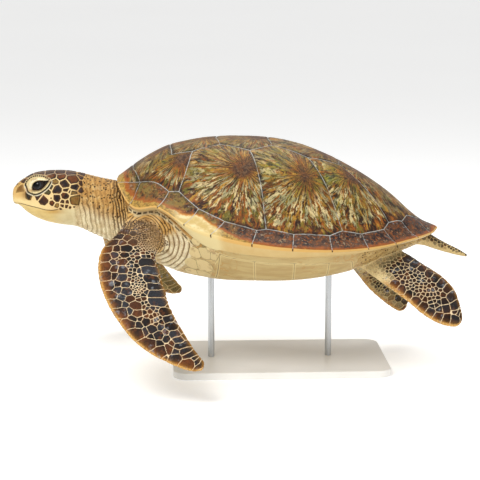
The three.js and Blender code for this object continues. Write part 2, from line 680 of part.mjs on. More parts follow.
function wingRing(lead, chord, normal, thick) {
  const stout = Math.min(thick / chord.length(), 1);
  return Array.from({ length: FLIPPER_SIDES }, (_, i) => {
    const angle = (2 * Math.PI * (i + 0.5)) / FLIPPER_SIDES;
    const share = (1 - Math.cos(angle)) / 2;
    const oval = Math.sin(angle);
    const wing = Math.sign(oval) * (WING_RISE * Math.sqrt(share) * (1 - share) ** WING_FALL);
    const thin = (Math.sign(oval) * FLIPPER_EDGE) / thick;
    const height = oval * stout + (wing + thin * share) * (1 - stout);
    const rise = height * (thick / 2);
    return lead.clone().addScaledVector(chord, share).addScaledVector(normal, rise).toArray();
  });
}

// ---------------------------------------------------------------- head's features

const mirrored = ([x, y, z], side) => [x, side * y, z];

function ball(centre, radius) {
  return solidOf(new THREE.IcosahedronGeometry(radius, EYE_DETAIL).translate(...centre));
}

// The lids' opening: a pointed oval, slanted, pushed out along the eye's axis.
function lidOpening(side) {
  const half = LID_OPENING_WIDTH / 2;
  const rise = LID_OPENING_HEIGHT / 2;
  const outline = new THREE.Shape();
  outline.moveTo(-half, 0);
  outline.quadraticCurveTo(0, 2 * rise, half, 0);
  outline.quadraticCurveTo(0, -2 * rise, -half, 0);
  const prism = new THREE.ExtrudeGeometry(outline, {
    depth: LID_OPENING_DEPTH, bevelEnabled: false, curveSegments: 8,
  });
  const out = new THREE.Vector3(...mirrored(EYE_AXIS, side)).normalize();
  const along = new THREE.Vector3(Math.cos(LID_SLANT), 0, Math.sin(LID_SLANT));
  along.addScaledVector(out, -along.dot(out)).normalize();
  const across = out.clone().cross(along);
  prism.applyMatrix4(new THREE.Matrix4().makeBasis(along, across, out));
  return solidOf(prism.translate(...mirrored(EYE_CENTRE, side)));
}

function nostril(side) {
  const pit = new THREE.CylinderGeometry(NOSTRIL_RADIUS, NOSTRIL_RADIUS, NOSTRIL_DEPTH, 12);
  pit.rotateX(Math.PI / 2);
  return solidOf(placed(pit, mirrored(NOSTRIL_AXIS, side), mirrored(NOSTRIL_PLACE, side)));
}

function withFeatures(body) {
  return [LEFT, RIGHT].reduce((solid, side) => solid
    .add(ball(mirrored(EYE_CENTRE, side), LID_RADIUS))
    .subtract(ball(mirrored(EYE_CENTRE, side), EYE_RADIUS + GAP))
    .subtract(lidOpening(side))
    .subtract(nostril(side)), body);
}

// The room under the line of the mouth, back to the jaw's rear end.
function jawRoom(grow) {
  const line = spline(MOUTH_LINE);
  const outline = new THREE.Shape();
  outline.moveTo(MOUTH_FRONT - grow, -JAW_REACH);
  for (let i = 0; i <= MOUTH_STEPS; i += 1) {
    const x = MOUTH_FRONT + ((MOUTH_CORNER[0] - MOUTH_FRONT) * i) / MOUTH_STEPS;
    outline.lineTo(i === 0 ? x - grow : x, line(x) + grow);
  }
  outline.lineTo(JAW_BACK[0] + grow, JAW_BACK[1]);
  outline.lineTo(JAW_BACK[0] + grow, -JAW_REACH);
  const prism = new THREE.ExtrudeGeometry(outline, { depth: 2 * JAW_REACH, bevelEnabled: false });
  return solidOf(prism.rotateX(Math.PI / 2).translate(0, JAW_REACH, 0));
}

// ---------------------------------------------------------------- parting the animal

function cutSlab({ at, across, reach }) {
  return solidOf(placed(new THREE.BoxGeometry(2 * reach[0], 2 * reach[1], GAP), across, at));
}

function trianglesOf(solid) {
  const geometry = geometryFrom(solid).toNonIndexed();
  const { array } = geometry.getAttribute('position');
  const triangles = [];
  for (let i = 0; i < array.length; i += 9) {
    triangles.push([0, 3, 6].map((k) => [array[i + k], array[i + k + 1], array[i + k + 2]]));
  }
  return triangles;
}

const sizeOf = (solid) => volumeOf(trianglesOf(solid));

function largest(solid) {
  return solid.decompose().reduce((best, piece) => (sizeOf(piece) > sizeOf(best) ? piece : best));
}

function centreOf(solid) {
  const box = new THREE.Box3().setFromBufferAttribute(geometryFrom(solid).getAttribute('position'));
  return box.getCenter(new THREE.Vector3());
}

function parted(flesh) {
  const pieces = CUTS.reduce((solid, cut) => solid.subtract(cutSlab(cut)), flesh).decompose()
    .filter((piece) => sizeOf(piece) > SLIVER);
  const nearest = (point) => pieces.reduce((best, piece) => {
    const away = (one) => centreOf(one).distanceTo(new THREE.Vector3(...point));
    return away(piece) < away(best) ? piece : best;
  });
  return Object.fromEntries(Object.entries(PIECES).map(([name, point]) => [name, nearest(point)]));
}

// ---------------------------------------------------------------- stand

function basePlate() {
  const x = BASE_LENGTH / 2 - BASE_BEVEL;
  const y = BASE_WIDTH / 2 - BASE_BEVEL;
  const outline = new THREE.Shape();
  outline.moveTo(-x + BASE_CORNER, -y);
  outline.lineTo(x - BASE_CORNER, -y);
  outline.absarc(x - BASE_CORNER, -y + BASE_CORNER, BASE_CORNER, -Math.PI / 2, 0);
  outline.absarc(x - BASE_CORNER, y - BASE_CORNER, BASE_CORNER, 0, Math.PI / 2);
  outline.absarc(-x + BASE_CORNER, y - BASE_CORNER, BASE_CORNER, Math.PI / 2, Math.PI);
  outline.absarc(-x + BASE_CORNER, -y + BASE_CORNER, BASE_CORNER, Math.PI, 1.5 * Math.PI);
  const plate = new THREE.ExtrudeGeometry(outline, {
    depth: BASE_HEIGHT - 2 * BASE_BEVEL,
    bevelThickness: BASE_BEVEL,
    bevelSize: BASE_BEVEL,
    bevelSegments: 2,
    curveSegments: 8,
  });
  return plate.translate(0, 0, BASE_BEVEL);
}

// Rod with its pad under the belly, cut to the plates above it.
function rodWithPad(x) {
  const foot = BASE_HEIGHT + GAP - RIM_LEVEL;
  const head = keelHeight(x) + PAD_HEIGHT / 2;
  const neck = head - PAD_HEIGHT;
  const length = neck + PAD_OVERLAP - foot;
  const rod = new THREE.CylinderGeometry(ROD_RADIUS, ROD_RADIUS, length, ROD_SIDES);
  const pad = new THREE.CylinderGeometry(PAD_RADIUS, ROD_RADIUS + PAD_FLARE, PAD_HEIGHT, ROD_SIDES);
  rod.rotateX(Math.PI / 2).translate(x, 0, foot + length / 2);
  pad.rotateX(Math.PI / 2).translate(x, 0, (head + neck) / 2);
  return solidOf(rod).add(solidOf(pad)).subtract(plastronSolid(0, GAP, 2 * PAD_RADIUS));
}

// ---------------------------------------------------------------- the object

function finish(name) {
  const [color, roughness, metalness] = FINISH[name];
  return new THREE.MeshStandardMaterial({ color, roughness, metalness });
}

function node(name, geometry, finishName) {
  const plain = geometry.index ? geometry : mergeVertices(geometry);
  plain.computeVertexNormals();
  const mesh = new THREE.Mesh(plain, finish(finishName));
  mesh.name = name;
  return mesh;
}

function buildTurtle() {
  const plastron = plastronSolid(0, 0, PLASTRON_THICKNESS);
  const limbs = [
    headAndNeck(),
    tail(),
    flipper(FRONT_FLIPPER, LEFT),
    flipper(RIGHT_FRONT_FLIPPER, RIGHT),
    flipper(REAR_FLIPPER_LEFT, LEFT),
    flipper(REAR_FLIPPER_RIGHT, RIGHT),
  ];
  const flesh = largest(limbs.reduce((solid, limb) => solid.add(limb), trunk())
    .subtract(carapaceRoom())
    .subtract(plastronSolid(GAP, GAP + PLASTRON_RAISE + PLATE_ROOM, PLASTRON_THICKNESS + GAP)));
  const pieces = parted(flesh);
  const head = withFeatures(pieces.head);
  const finishes = { neck: 'skin', torso: 'skin', tail: 'skin' };

  const turtle = new THREE.Group();
  turtle.add(node('carapace', carapaceGeometry(), 'carapace'));
  turtle.add(node('plastron', geometryFrom(plastron), 'plastron'));
  turtle.add(node('head', geometryFrom(largest(head.subtract(jawRoom(MOUTH_GAP)))), 'head'));
  turtle.add(node('lower_jaw', geometryFrom(largest(head.intersect(jawRoom(0)))), 'plastron'));
  for (const [name, piece] of Object.entries(pieces)) {
    if (name !== 'head') {
      turtle.add(node(name, geometryFrom(largest(piece)), finishes[name] ?? 'flipper'));
    }
  }
  for (const [side, sideName] of [[LEFT, 'left'], [RIGHT, 'right']]) {
    const eye = node(`eye_${sideName}`, new THREE.IcosahedronGeometry(EYE_RADIUS, EYE_DETAIL), 'eye');
    eye.position.set(...mirrored(EYE_CENTRE, side));
    turtle.add(eye);
  }
  for (const [place, x] of Object.entries(ROD_PLACES)) {
    turtle.add(node(`stand_rod_${place}`, geometryFrom(rodWithPad(x)), 'steel'));
  }
  turtle.position.z = RIM_LEVEL;
  return turtle;
}

const object = new THREE.Group();
object.add(buildTurtle());
object.add(node('stand_base', basePlate(), 'stand'));

export default object;
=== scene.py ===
"""Green sea turtle (Chelonia mydas), life size, on a plain display stand.

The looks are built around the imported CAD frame. Tables are in millimetres, with heights above the
level of the shell's rear rim, as in the CAD source; LIFT and MM turn them into the frame's metres.
"""
import math
from itertools import product

import bpy
import numpy as np
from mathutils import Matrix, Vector
from mathutils.kdtree import KDTree


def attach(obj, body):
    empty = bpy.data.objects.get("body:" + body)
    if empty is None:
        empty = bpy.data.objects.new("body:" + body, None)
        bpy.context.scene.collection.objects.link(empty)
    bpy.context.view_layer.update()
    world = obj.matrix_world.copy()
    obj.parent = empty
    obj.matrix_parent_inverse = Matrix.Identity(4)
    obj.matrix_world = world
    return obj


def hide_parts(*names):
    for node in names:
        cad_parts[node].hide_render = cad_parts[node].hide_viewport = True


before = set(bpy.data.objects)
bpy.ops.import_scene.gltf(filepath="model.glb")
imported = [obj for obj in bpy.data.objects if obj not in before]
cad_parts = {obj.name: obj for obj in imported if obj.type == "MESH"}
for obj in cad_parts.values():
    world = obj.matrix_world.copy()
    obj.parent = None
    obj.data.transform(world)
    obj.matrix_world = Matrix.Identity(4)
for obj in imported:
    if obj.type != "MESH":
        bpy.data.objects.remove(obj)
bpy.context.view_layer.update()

MM = 0.001
LIFT = 380.0
LEFT, RIGHT = -1, 1


# ------------------------------------------------------------------ shell sizes

SHELL_OUTLINE = [
    (-450, 0), (-446, 70), (-436, 112), (-385, 200), (-300, 272), (-165, 334), (0, 350),
    (145, 318), (249, 260), (327, 195), (386, 130), (423, 70), (445, 0)]
RIM_HEIGHT = [
    (-450, 147), (-425, 108), (-338, 103), (-265, 62), (-165, 34), (36, 4), (249, -6), (386, 1),
    (450, 3)]
RIDGE_HEIGHT = [
    (-450, 149), (-386, 194), (-318, 231), (-240, 251), (-110, 260), (30, 245), (165, 193),
    (300, 108), (410, 17), (450, 3)]
DOME_SECTION = [
    (0, 1), (0.2, 0.975), (0.35, 0.9), (0.5, 0.745), (0.65, 0.51), (0.8, 0.235), (0.9, 0.1),
    (1, 0)]
EDGE_DROP = [
    (-450, 8), (-340, 10), (-285, 18), (-238, 38), (-113, 36), (0, 29), (113, 17), (220, 9),
    (450, 7)]
# How wide the pale band along the rim is.
RIM_BAND = [(-450, 18), (-400, 16), (-350, 14), (-300, 20), (-262, 30), (-225, 38), (-180, 22),
            (-120, 8), (0, 2), (450, 0)]
EDGE_INSET = 4
EDGE_LEAN = 0.4
EDGE_BULGE = 1.8
EDGE_RINGS = [0.06, 0.14, 0.24, 0.34, 0.44, 0.54, 0.64, 0.74, 0.84, 0.93, 1.0]
SHELL_THICKNESS = 14
INNER_RINGS = [0.93, 0.82, 0.66, 0.45, 0.22]
# The wall field's value inside the shell, and how far from any seam its inside counts as.
INSIDE, INSIDE_SEAM_GAP = 1.4, 40
SCUTE_RAISE = 2.6
TROUGH_DEPTH = 1.3
TROUGH_WIDTH = 6
SEAM_DEPTH = 0.5
SEAM_WIDTH = 1.3
SHELL_GRID = 520
SEAM_STEP = 1.4
RIM_STEPS = 60
SEAM_SWAY = 0.9
RIB, MIDDLE, RIM_SCUTE = 0, 1, 2

# Scute corners of one side, as (x, distance from the midline): s0 to s17 along the inner seam of
# the rim scutes, p0 to p8 between ribs and ridge, and m0 to m4 on the midline; r0 to r13 are the
# places of RIM_SEAMS along the rim.
SCUTE_CORNERS = {
    "s": [(-386, 119), (-372, 133), (-310, 196), (-283, 201), (-232, 246), (-165, 284),
          (-81, 305), (-56, 300), (17, 304), (114, 283), (151, 258), (205, 241), (271, 191),
          (286, 164), (327, 128), (348, 84), (378, 40), (392, 0)],
    "p": [(-405, 40), (-300, 88), (-243, 98), (-168, 80), (-88, 118), (-26, 80), (70, 106),
          (160, 64), (231, 117)],
    "m": [(-405, 0), (-302, 0), (-176, 0), (-32, 0), (166, 0)]}
RIM_SEAMS = [0, 0.042, 0.129, 0.222, 0.289, 0.35, 0.439, 0.525, 0.612, 0.703, 0.785, 0.864,
             0.925, 1]
# Scutes as rings of corner names, then where the streaks of rib and middle scutes spread from.
RIM_SCUTES = [f"r{i + 1} r{i + 2} {inner}".split() for i, inner in enumerate([
    "s0", "s2 s1 s0", "s4 s3 s2", "s5 s4", "s6 s5", "s8 s7 s6", "s9 s8", "s11 s10 s9", "s12 s11",
    "s14 s13 s12", "s16 s15 s14", "s17 s16"])]
RIB_SCUTES = [
    ("s1 p1 p2 s3 s2".split(), (-272, 117)), ("p2 p3 p4 s7 s6 s5 s4 s3".split(), (-107, 178)),
    ("p4 p5 p6 s10 s9 s8 s7".split(), (60, 172)), ("p6 p7 p8 s13 s12 s11 s10".split(), (185, 105))]
MIDDLE_SCUTES = [
    ("r0 r1 s0 p0 m0".split(), (-410, 0)), ("m0 p0 s0 s1 p1 m1".split(), (-318, 0)),
    ("m1 p1 p2 p3 m2".split(), (-205, 0)), ("m2 p3 p4 p5 m3".split(), (-62, 0)),
    ("m3 p5 p6 p7 m4".split(), (125, 0)), ("m4 p7 p8 s13 s14 s15 s16 s17".split(), (215, 0))]
# Seams that bow rearward in the middle, by how far, and the one that can't be seen.
BOWED_SEAMS = {("p2", "s3"): 4, ("p4", "s7"): 7, ("p6", "s10"): 6, ("p8", "s13"): 4}
FAINT_SEAM = {"s1", "p1"}

KEEL_HEIGHT = [
    (-425, -40), (-360, -64), (-300, -86), (-200, -104), (-80, -108), (60, -105), (180, -86),
    (280, -58), (350, -38), (400, -24)]
BOWL_SECTION = [(0, 0), (0.5, 0.02), (0.65, 0.1), (0.8, 0.33), (0.9, 0.62), (1, 1)]
PLASTRON_GRID = 300
PLASTRON_RAISE = 2.2
PLASTRON_DEPTH = 7
PLASTRON_RINGS = (1.0, 0.95, 0.8, 0.6, 0.35)
# Where the lower shell joins the upper one, by the angle seen from the origin.
BRIDGE_START, BRIDGE_END = (0.86, 1.0), (-2.2, -2.08)
# Corners of the lower shell's plates: m on the midline, e round the edge, s inside of that.
PLASTRON_CORNERS = {
    "m": [(-356, 0), (-322, 0), (-286, 0), (-190, 0), (-66, 0), (86, 0), (212, 0), (336, 0)],
    "e": [(-352, 32), (-338, 62), (-300, 112), (-226, 158), (-206, 196), (-196, 262), (-178, 305),
          (-88, 319), (18, 321), (112, 300), (176, 272), (186, 208), (206, 166), (262, 118),
          (326, 52)],
    "s": [(-186, 200), (-80, 224), (22, 226), (112, 210), (160, 190)]}
PLASTRON_PLATES = [plate.split() for plate in (
    "m1 e1 e2 m2", "m2 e2 e3 e4 m3", "m3 e4 s0 s1 m4", "m4 s1 s2 s3 m5", "m5 s3 s4 e11 e12 m6",
    "m6 e12 e13 e14 m7", "e4 e5 e6 s0", "s0 e6 e7 s1", "s1 e7 e8 s2", "s2 e8 e9 s3",
    "s3 e9 e10 e11 s4", "m0 e0 e1 m1")]
PLASTRON_RIM = ["m0", *(f"e{i}" for i in range(15)), "m7"]


# ------------------------------------------------------------------ body sizes

BODY_FRONT, BODY_REAR = -428, 386
BODY_INSET = [(-428, 22), (-330, 18), (-250, 2), (180, 2), (260, 12), (386, 16)]
ROOF_GAP = 2

NAPE_TOP = [
    (-738, 112), (-736, 121), (-731, 129), (-716, 143), (-701, 153), (-685, 162), (-652, 170),
    (-610, 172), (-586, 171), (-536, 161), (-497, 151), (-450, 141), (-385, 128)]
THROAT_BOTTOM = [
    (-738, 94), (-736, 85), (-731, 80), (-724, 79), (-716, 74), (-701, 60), (-685, 49),
    (-652, 34), (-610, 24), (-560, 16), (-517, -3), (-470, -24), (-430, -38), (-385, -46)]
NECK_HALF_WIDTH = [
    (-738, 4), (-736, 12), (-731, 19), (-716, 31), (-701, 38), (-668, 52), (-635, 61),
    (-600, 66), (-570, 66), (-536, 66), (-497, 75), (-450, 95), (-385, 120)]
HEAD_POWER = 2.3
HEAD_TAPER = 0.1
MOUTH_LINE = [(-736, 85), (-724, 84), (-715, 84), (-692, 80), (-670, 76), (-640, 70), (-621, 71),
              (-606, 75)]
EYE_RADIUS = 20
EYE_CENTRE = (-664, 33, 134)
LID_RADIUS = 23.5
# The lids' outlines round the eye's centre, in mm rearward and upward seen along LID_VIEW: the
# opening, and the orbit with its upper part beaded and its lower part ringed.
LID_VIEW = (-0.05, 0.98, 0.17)
LID_EDGE = [
    (-16.8, -8.6), (-16.2, 0), (-13.4, 5.6), (-6.7, 11), (2.2, 13.2), (11.2, 13), (20, 13),
    (28, 13.2), (22.3, 5.2), (15.6, -3), (8.9, -9.2), (0, -12), (-8.9, -12.4), (-15.6, -11)]
ORBIT = [
    (-37, 2.5), (-33.7, -6.3), (-30.3, -16), (-22.5, -21.4), (-9, -24.8), (2.2, -22.4),
    (13.3, -16.4), (23.4, -8.5), (31.2, 1.5), (34.4, 10.6), (29.4, 17.4), (24, 20.8), (18.6, 23.8),
    (13, 26), (2.2, 27.4), (-9, 27.4), (-19, 25), (-27.2, 20), (-33.8, 12)]
BEAD_STEP, BEAD_RADIUS = 5.9, 2.5
NOSTRIL = (-729, 9, 129)

# Flipper stations: leading and trailing edge as (x, distance from midline, z), thickness.
FRONT_FLIPPER = [
    ((-398, 110, 66), (-268, 110, 0), 104), ((-428, 180, 52), (-296, 190, -6), 94),
    ((-450, 229, 26), (-334, 248, -10), 76), ((-486, 264, -2), (-348, 286, -24), 54),
    ((-498, 306, -33), (-340, 327, -51), 38), ((-494, 352, -74), (-328, 365, -88), 30),
    ((-474, 400, -120), (-315, 404, -127), 25), ((-448, 428, -160), (-298, 428, -160), 21),
    ((-408, 456, -206), (-279, 449, -190), 17), ((-354, 480, -243), (-258, 470, -222), 13),
    ((-292, 495, -270), (-239, 484, -246), 10), ((-256, 499, -280), (-229, 490, -258), 7),
    ((-234, 500, -278), (-228, 496, -270), 5)]
RIGHT_SWING = 34
SWING_FROM, SWING_SPAN = 4, 3
REAR_FLIPPER_LEFT = [
    ((168, 110, -56), (285, 60, -20), 64), ((200, 178, -64), (306, 135, -28), 58),
    ((240, 228, -90), (338, 168, -42), 44), ((283, 260, -119), (372, 196, -62), 33),
    ((325, 286, -148), (405, 222, -80), 25), ((365, 303, -181), (431, 246, -98), 19),
    ((405, 312, -203), (452, 270, -122), 15), ((440, 314, -212), (463, 292, -156), 11),
    ((457, 312, -210), (468, 300, -179), 7), ((465, 308, -203), (469, 304, -193), 5)]
REAR_FLIPPER_RIGHT = [
    ((158, 80, -60), (285, 60, -20), 64), ((192, 112, -92), (306, 120, -36), 56),
    ((222, 134, -136), (338, 140, -66), 42), ((248, 152, -170), (368, 158, -104), 32),
    ((275, 171, -204), (390, 174, -144), 24), ((310, 192, -238), (404, 190, -184), 18),
    ((344, 210, -266), (404, 204, -224), 13), ((368, 218, -281), (396, 214, -252), 9),
    ((383, 221, -280), (392, 219, -267), 6)]
FLIPPER_EDGE = 3
TAIL = [
    ((325, 0, -22), 46, 32), ((370, 0, -17), 38, 28), ((404, 0, -24), 29, 22),
    ((437, 0, -40), 20, 17), ((471, 0, -55), 14, 12.5), ((505, 0, -68), 9, 8.5),
    ((530, 0, -78), 3, 3)]
VOXEL = 1.55
# Sections and points per section of the lofts; the head's sections crowd at the beak.
TRUNK_GRID, HEAD_GRID, TAIL_GRID, BALL_GRID = (90, 80), (140, 88), (80, 40), (40, 64)
HEAD_CROWDING = 1.35
TRUNK_FLOOR_GAP, TRUNK_MIN_DEPTH = 0.8, 4
# Skin is left out this deep under the upper shell and over the lower one, within these limits.
COVER_DEPTH, COVER_SHARE, COVER_FROM, COVER_TO = 24, 0.8, -400, 330
BELLY_DEPTH, BELLY_INSET = 5, 12
BRIDGE_LEAST, BRIDGE_SHARE = 0.97, 0.5


# ------------------------------------------------------------------ curves

def spline(knots):
    """Smooth curve through (x, y) knots, with slopes weighted by the knots' spacing."""
    x, y = np.array(knots, float).T
    width, rise = np.diff(x), np.diff(y) / np.diff(x)
    slope = np.empty(len(x))
    slope[0], slope[-1] = rise[0], rise[-1]
    slope[1:-1] = (rise[:-1] * width[1:] + rise[1:] * width[:-1]) / (width[:-1] + width[1:])

    def value(at):
        at = np.clip(np.asarray(at, float), x[0], x[-1])
        i = np.clip(np.searchsorted(x, at, side="right") - 1, 0, len(width) - 1)
        h = width[i]
        t = (at - x[i]) / h
        fall = (1 + 2 * t) * (1 - t) ** 2
        return (y[i] * fall + y[i + 1] * (1 - fall) + slope[i] * h * t * (1 - t) ** 2
                + slope[i + 1] * h * t * t * (t - 1))
    return value


def tracks(rows):
    """Splines through a table's columns, over the number of the row."""
    return [spline(list(enumerate(column))) for column in np.array(rows, float).T]


def curve_along(points):
    """Share of the way along the points -> (n, 2) places."""
    points = np.array(points, float)
    length = np.concatenate([[0], np.cumsum(np.hypot(*np.diff(points, axis=0).T))])
    share = length / length[-1]
    x_of = spline(list(zip(share, points[:, 0])))
    y_of = spline(list(zip(share, points[:, 1])))
    return lambda t: np.stack([x_of(t), np.maximum(y_of(t), 0)], -1)


rim_point = curve_along(SHELL_OUTLINE)
RIM = rim_point(np.linspace(0, 1, 801))
rim_height, ridge_height = spline(RIM_HEIGHT), spline(RIDGE_HEIGHT)
dome_section, edge_drop = spline(DOME_SECTION), spline(EDGE_DROP)
keel_height, bowl_section = spline(KEEL_HEIGHT), spline(BOWL_SECTION)
nape_top, throat_bottom = spline(NAPE_TOP), spline(THROAT_BOTTOM)
neck_half_width = spline(NECK_HALF_WIDTH)
mouth_height = spline(MOUTH_LINE)


def body_inset(x):
    """How far the trunk stays inside the shell's edge."""
    return np.interp(x, *np.array(BODY_INSET, float).T)


def half_width(x):
    return np.interp(x, np.maximum.accumulate(RIM[:, 0]), RIM[:, 1])


def edge_inset(x):
    return EDGE_INSET + EDGE_LEAN * edge_drop(x)


def lower_rim(x):
    return rim_height(x) - edge_drop(x)


def shell_top(x, y):
    share = np.minimum(np.abs(y) / np.maximum(half_width(x), 1), 1)
    return rim_height(x) + (ridge_height(x) - rim_height(x)) * dome_section(share)


def belly_height(x, y):
    reach = np.maximum(half_width(x) - edge_inset(x), 1)
    share = np.minimum(np.abs(y) / reach, 1)
    return keel_height(x) + (lower_rim(x) - keel_height(x)) * bowl_section(share)


def on_shell(plan):
    return np.column_stack([plan, shell_top(*plan.T)])


def on_belly(plan):
    return np.column_stack([plan, belly_height(*plan.T)])


def neck_rise(x, z):
    """0 at the throat's underside and 1 at the top of the nape."""
    return (z - throat_bottom(x)) / np.maximum(nape_top(x) - throat_bottom(x), 1)


def mirrored(points, side):
    """Plan or space points, on the left or the right side."""
    points = np.array(points, float)
    return points * (1, side, 1)[:points.shape[-1]]


def both_sides(plan):
    return np.concatenate([mirrored(plan, LEFT), mirrored(plan, RIGHT)])


def unit(vectors):
    return vectors / np.linalg.norm(vectors, axis=-1, keepdims=True)


def smooth(value, low, high):
    """0 below low, 1 above high, and a soft step between."""
    t = np.clip((np.asarray(value, float) - low) / (high - low), 0, 1)
    return t * t * (3 - 2 * t)


def hump(value, middle, width):
    return np.exp(-((np.asarray(value, float) - middle) / width) ** 2)


def noise(points, size, seed):
    """Smooth random field between -1 and 1, with features about size wide."""
    q = np.asarray(points, float) / size + 17.31 * seed
    cell = np.floor(q).astype(np.int64)
    part = q - cell
    part = part * part * (3 - 2 * part)
    total = np.zeros(len(q))
    for corner in product((0, 1), repeat=3):
        c = cell + corner
        code = (c[:, 0] * 73856093) ^ (c[:, 1] * 19349663) ^ (c[:, 2] * 83492791) ^ (seed * 971)
        code = ((code ^ (code >> 13)) * 1274126177) & 0xFFFFFFFF
        value = ((code >> 8) & 0xFFFF) / 32767.5 - 1
        total += value * np.where(corner, part, 1 - part).prod(1)
    return total


# ------------------------------------------------------------------ meshes

def linked(name, data):
    obj = bpy.data.objects.new(name, data)
    bpy.context.scene.collection.objects.link(obj)
    return obj


def mesh_object(name, points, quads, triangles=()):
    """A smooth mesh object from points in millimetres."""
    mesh = bpy.data.meshes.new(name)
    co = ((np.asarray(points, float) + (0, 0, LIFT)) * MM).astype(np.float32)
    corners = np.concatenate([np.ravel(quads), np.ravel(triangles)]).astype(np.int32)
    sizes = np.repeat([4, 3], [len(quads), len(triangles)])
    starts = np.concatenate([[0], np.cumsum(sizes)[:-1]]).astype(np.int32)
    mesh.vertices.add(len(co))
    mesh.vertices.foreach_set("co", co.ravel())
    mesh.loops.add(len(corners))
    mesh.loops.foreach_set("vertex_index", corners)
    mesh.polygons.add(len(sizes))
    mesh.polygons.foreach_set("loop_start", starts)
    mesh.polygons.foreach_set("use_smooth", np.ones(len(sizes), bool))
    mesh.update(calc_edges=True)
    return linked(name, mesh)


FIELD_TYPES = {1: ("FLOAT", "value"), 3: ("FLOAT_VECTOR", "vector"), 4: ("FLOAT_COLOR", "color")}


def set_fields(obj, **fields):
    """Fields over the points for the materials: values, vectors or colours with alpha."""
    for name, values in fields.items():
        values = np.asarray(values, np.float32)
        kind, key = FIELD_TYPES[values.size // len(values)]
        obj.data.attributes.new(name, kind, "POINT").data.foreach_set(key, values.ravel())


def opaque(colours):
    return np.column_stack([colours, np.ones(len(colours))])


def coat(obj, material):
    obj.data.materials.clear()
    obj.data.materials.append(material)


def dress(obj, material, replaced):
    """Finish, body and slot of a piece, and the CAD nodes that it stands for."""
    coat(obj, material)
    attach(obj, "root")
    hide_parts(*replaced)


def disc_points(n):
    """An n by n grid bent to fill the unit disc."""
    line = np.linspace(-1, 1, n)
    u, v = [axis.ravel() for axis in np.meshgrid(line, line, indexing="ij")]
    return np.stack([u * np.sqrt(1 - v * v / 2), v * np.sqrt(1 - u * u / 2)], 1)


def grid_quads(n):
    i = np.arange(n * n).reshape(n, n)
    return np.stack([i[:-1, :-1], i[1:, :-1], i[1:, 1:], i[:-1, 1:]], -1).reshape(-1, 4)


def grid_border(n):
    """The grid's border, anticlockwise from above."""
    i = np.arange(n * n).reshape(n, n)
    return np.concatenate([i[:-1, 0], i[-1, :-1], i[:0:-1, -1], i[0, :0:-1]])


def ring_quads(upper, lower):
    return np.stack([upper, lower, np.roll(lower, -1), np.roll(upper, -1)], 1)


def plate_mesh(n, plan, surface, rings, centre):
    """A closed plate: a grid over plan at surface, then rings from its border, and a fan."""
    top = np.column_stack([plan, surface])
    border = grid_border(n)
    points, quads, last = [top], [grid_quads(n)], border
    count = len(top)
    for ring in rings:
        index = count + np.arange(len(border))
        quads.append(ring_quads(last, index))
        points.append(ring)
        last, count = index, count + len(border)
    points.append(np.array([centre], float))
    fan = np.stack([last, np.full(len(last), count), np.roll(last, -1)], 1)
    return np.concatenate(points), np.concatenate(quads), fan


def nearest(points, targets):
    """For each point the number of the nearest target and the distance to it."""
    tree = KDTree(len(targets))
    for i, target in enumerate(targets):
        tree.insert(target, i)
    tree.balance()
    found = np.array([tree.find(point)[1:] for point in points])
    return found[:, 0].astype(int), found[:, 1]


def distances(points, targets):
    return nearest(points, targets)[1]


def inside(points, loop):
    """True where a plan point lies inside the closed loop."""
    found = np.zeros(len(points), bool)
    low, high = loop.min(0), loop.max(0)
    near = np.nonzero(((points >= low) & (points <= high)).all(1))[0]
    x, y = points[near].T
    odd = np.zeros(len(near), bool)
    for (x0, y0), (x1, y1) in zip(loop, np.roll(loop, -1, axis=0)):
        if y0 != y1:
            crosses = (y0 > y) != (y1 > y)
            odd ^= crosses & (x < x0 + (y - y0) * (x1 - x0) / (y1 - y0))
    found[near] = odd
    return found


# ------------------------------------------------------------------ colours and node graphs

def paint(code):
    """Linear colour of an sRGB hex code."""
    channels = np.array([int(code[i:i + 2], 16) / 255 for i in (0, 2, 4)])
    return np.where(channels <= 0.04045, channels / 12.92, ((channels + 0.055) / 1.055) ** 2.4)


def blend(under, over, share):
    """Mixes colours, hex codes or colour fields by a field of shares."""
    under, over = [paint(tone) if isinstance(tone, str) else tone for tone in (under, over)]
    share = np.clip(np.asarray(share, float), 0, 1)[..., None]
    return under * (1 - share) + over * share


def coated(field, coats):
    """The colour field under coats of (colour, share), from the first to the last."""
    for tone, share in coats:
        field = blend(field, tone, share)
    return field


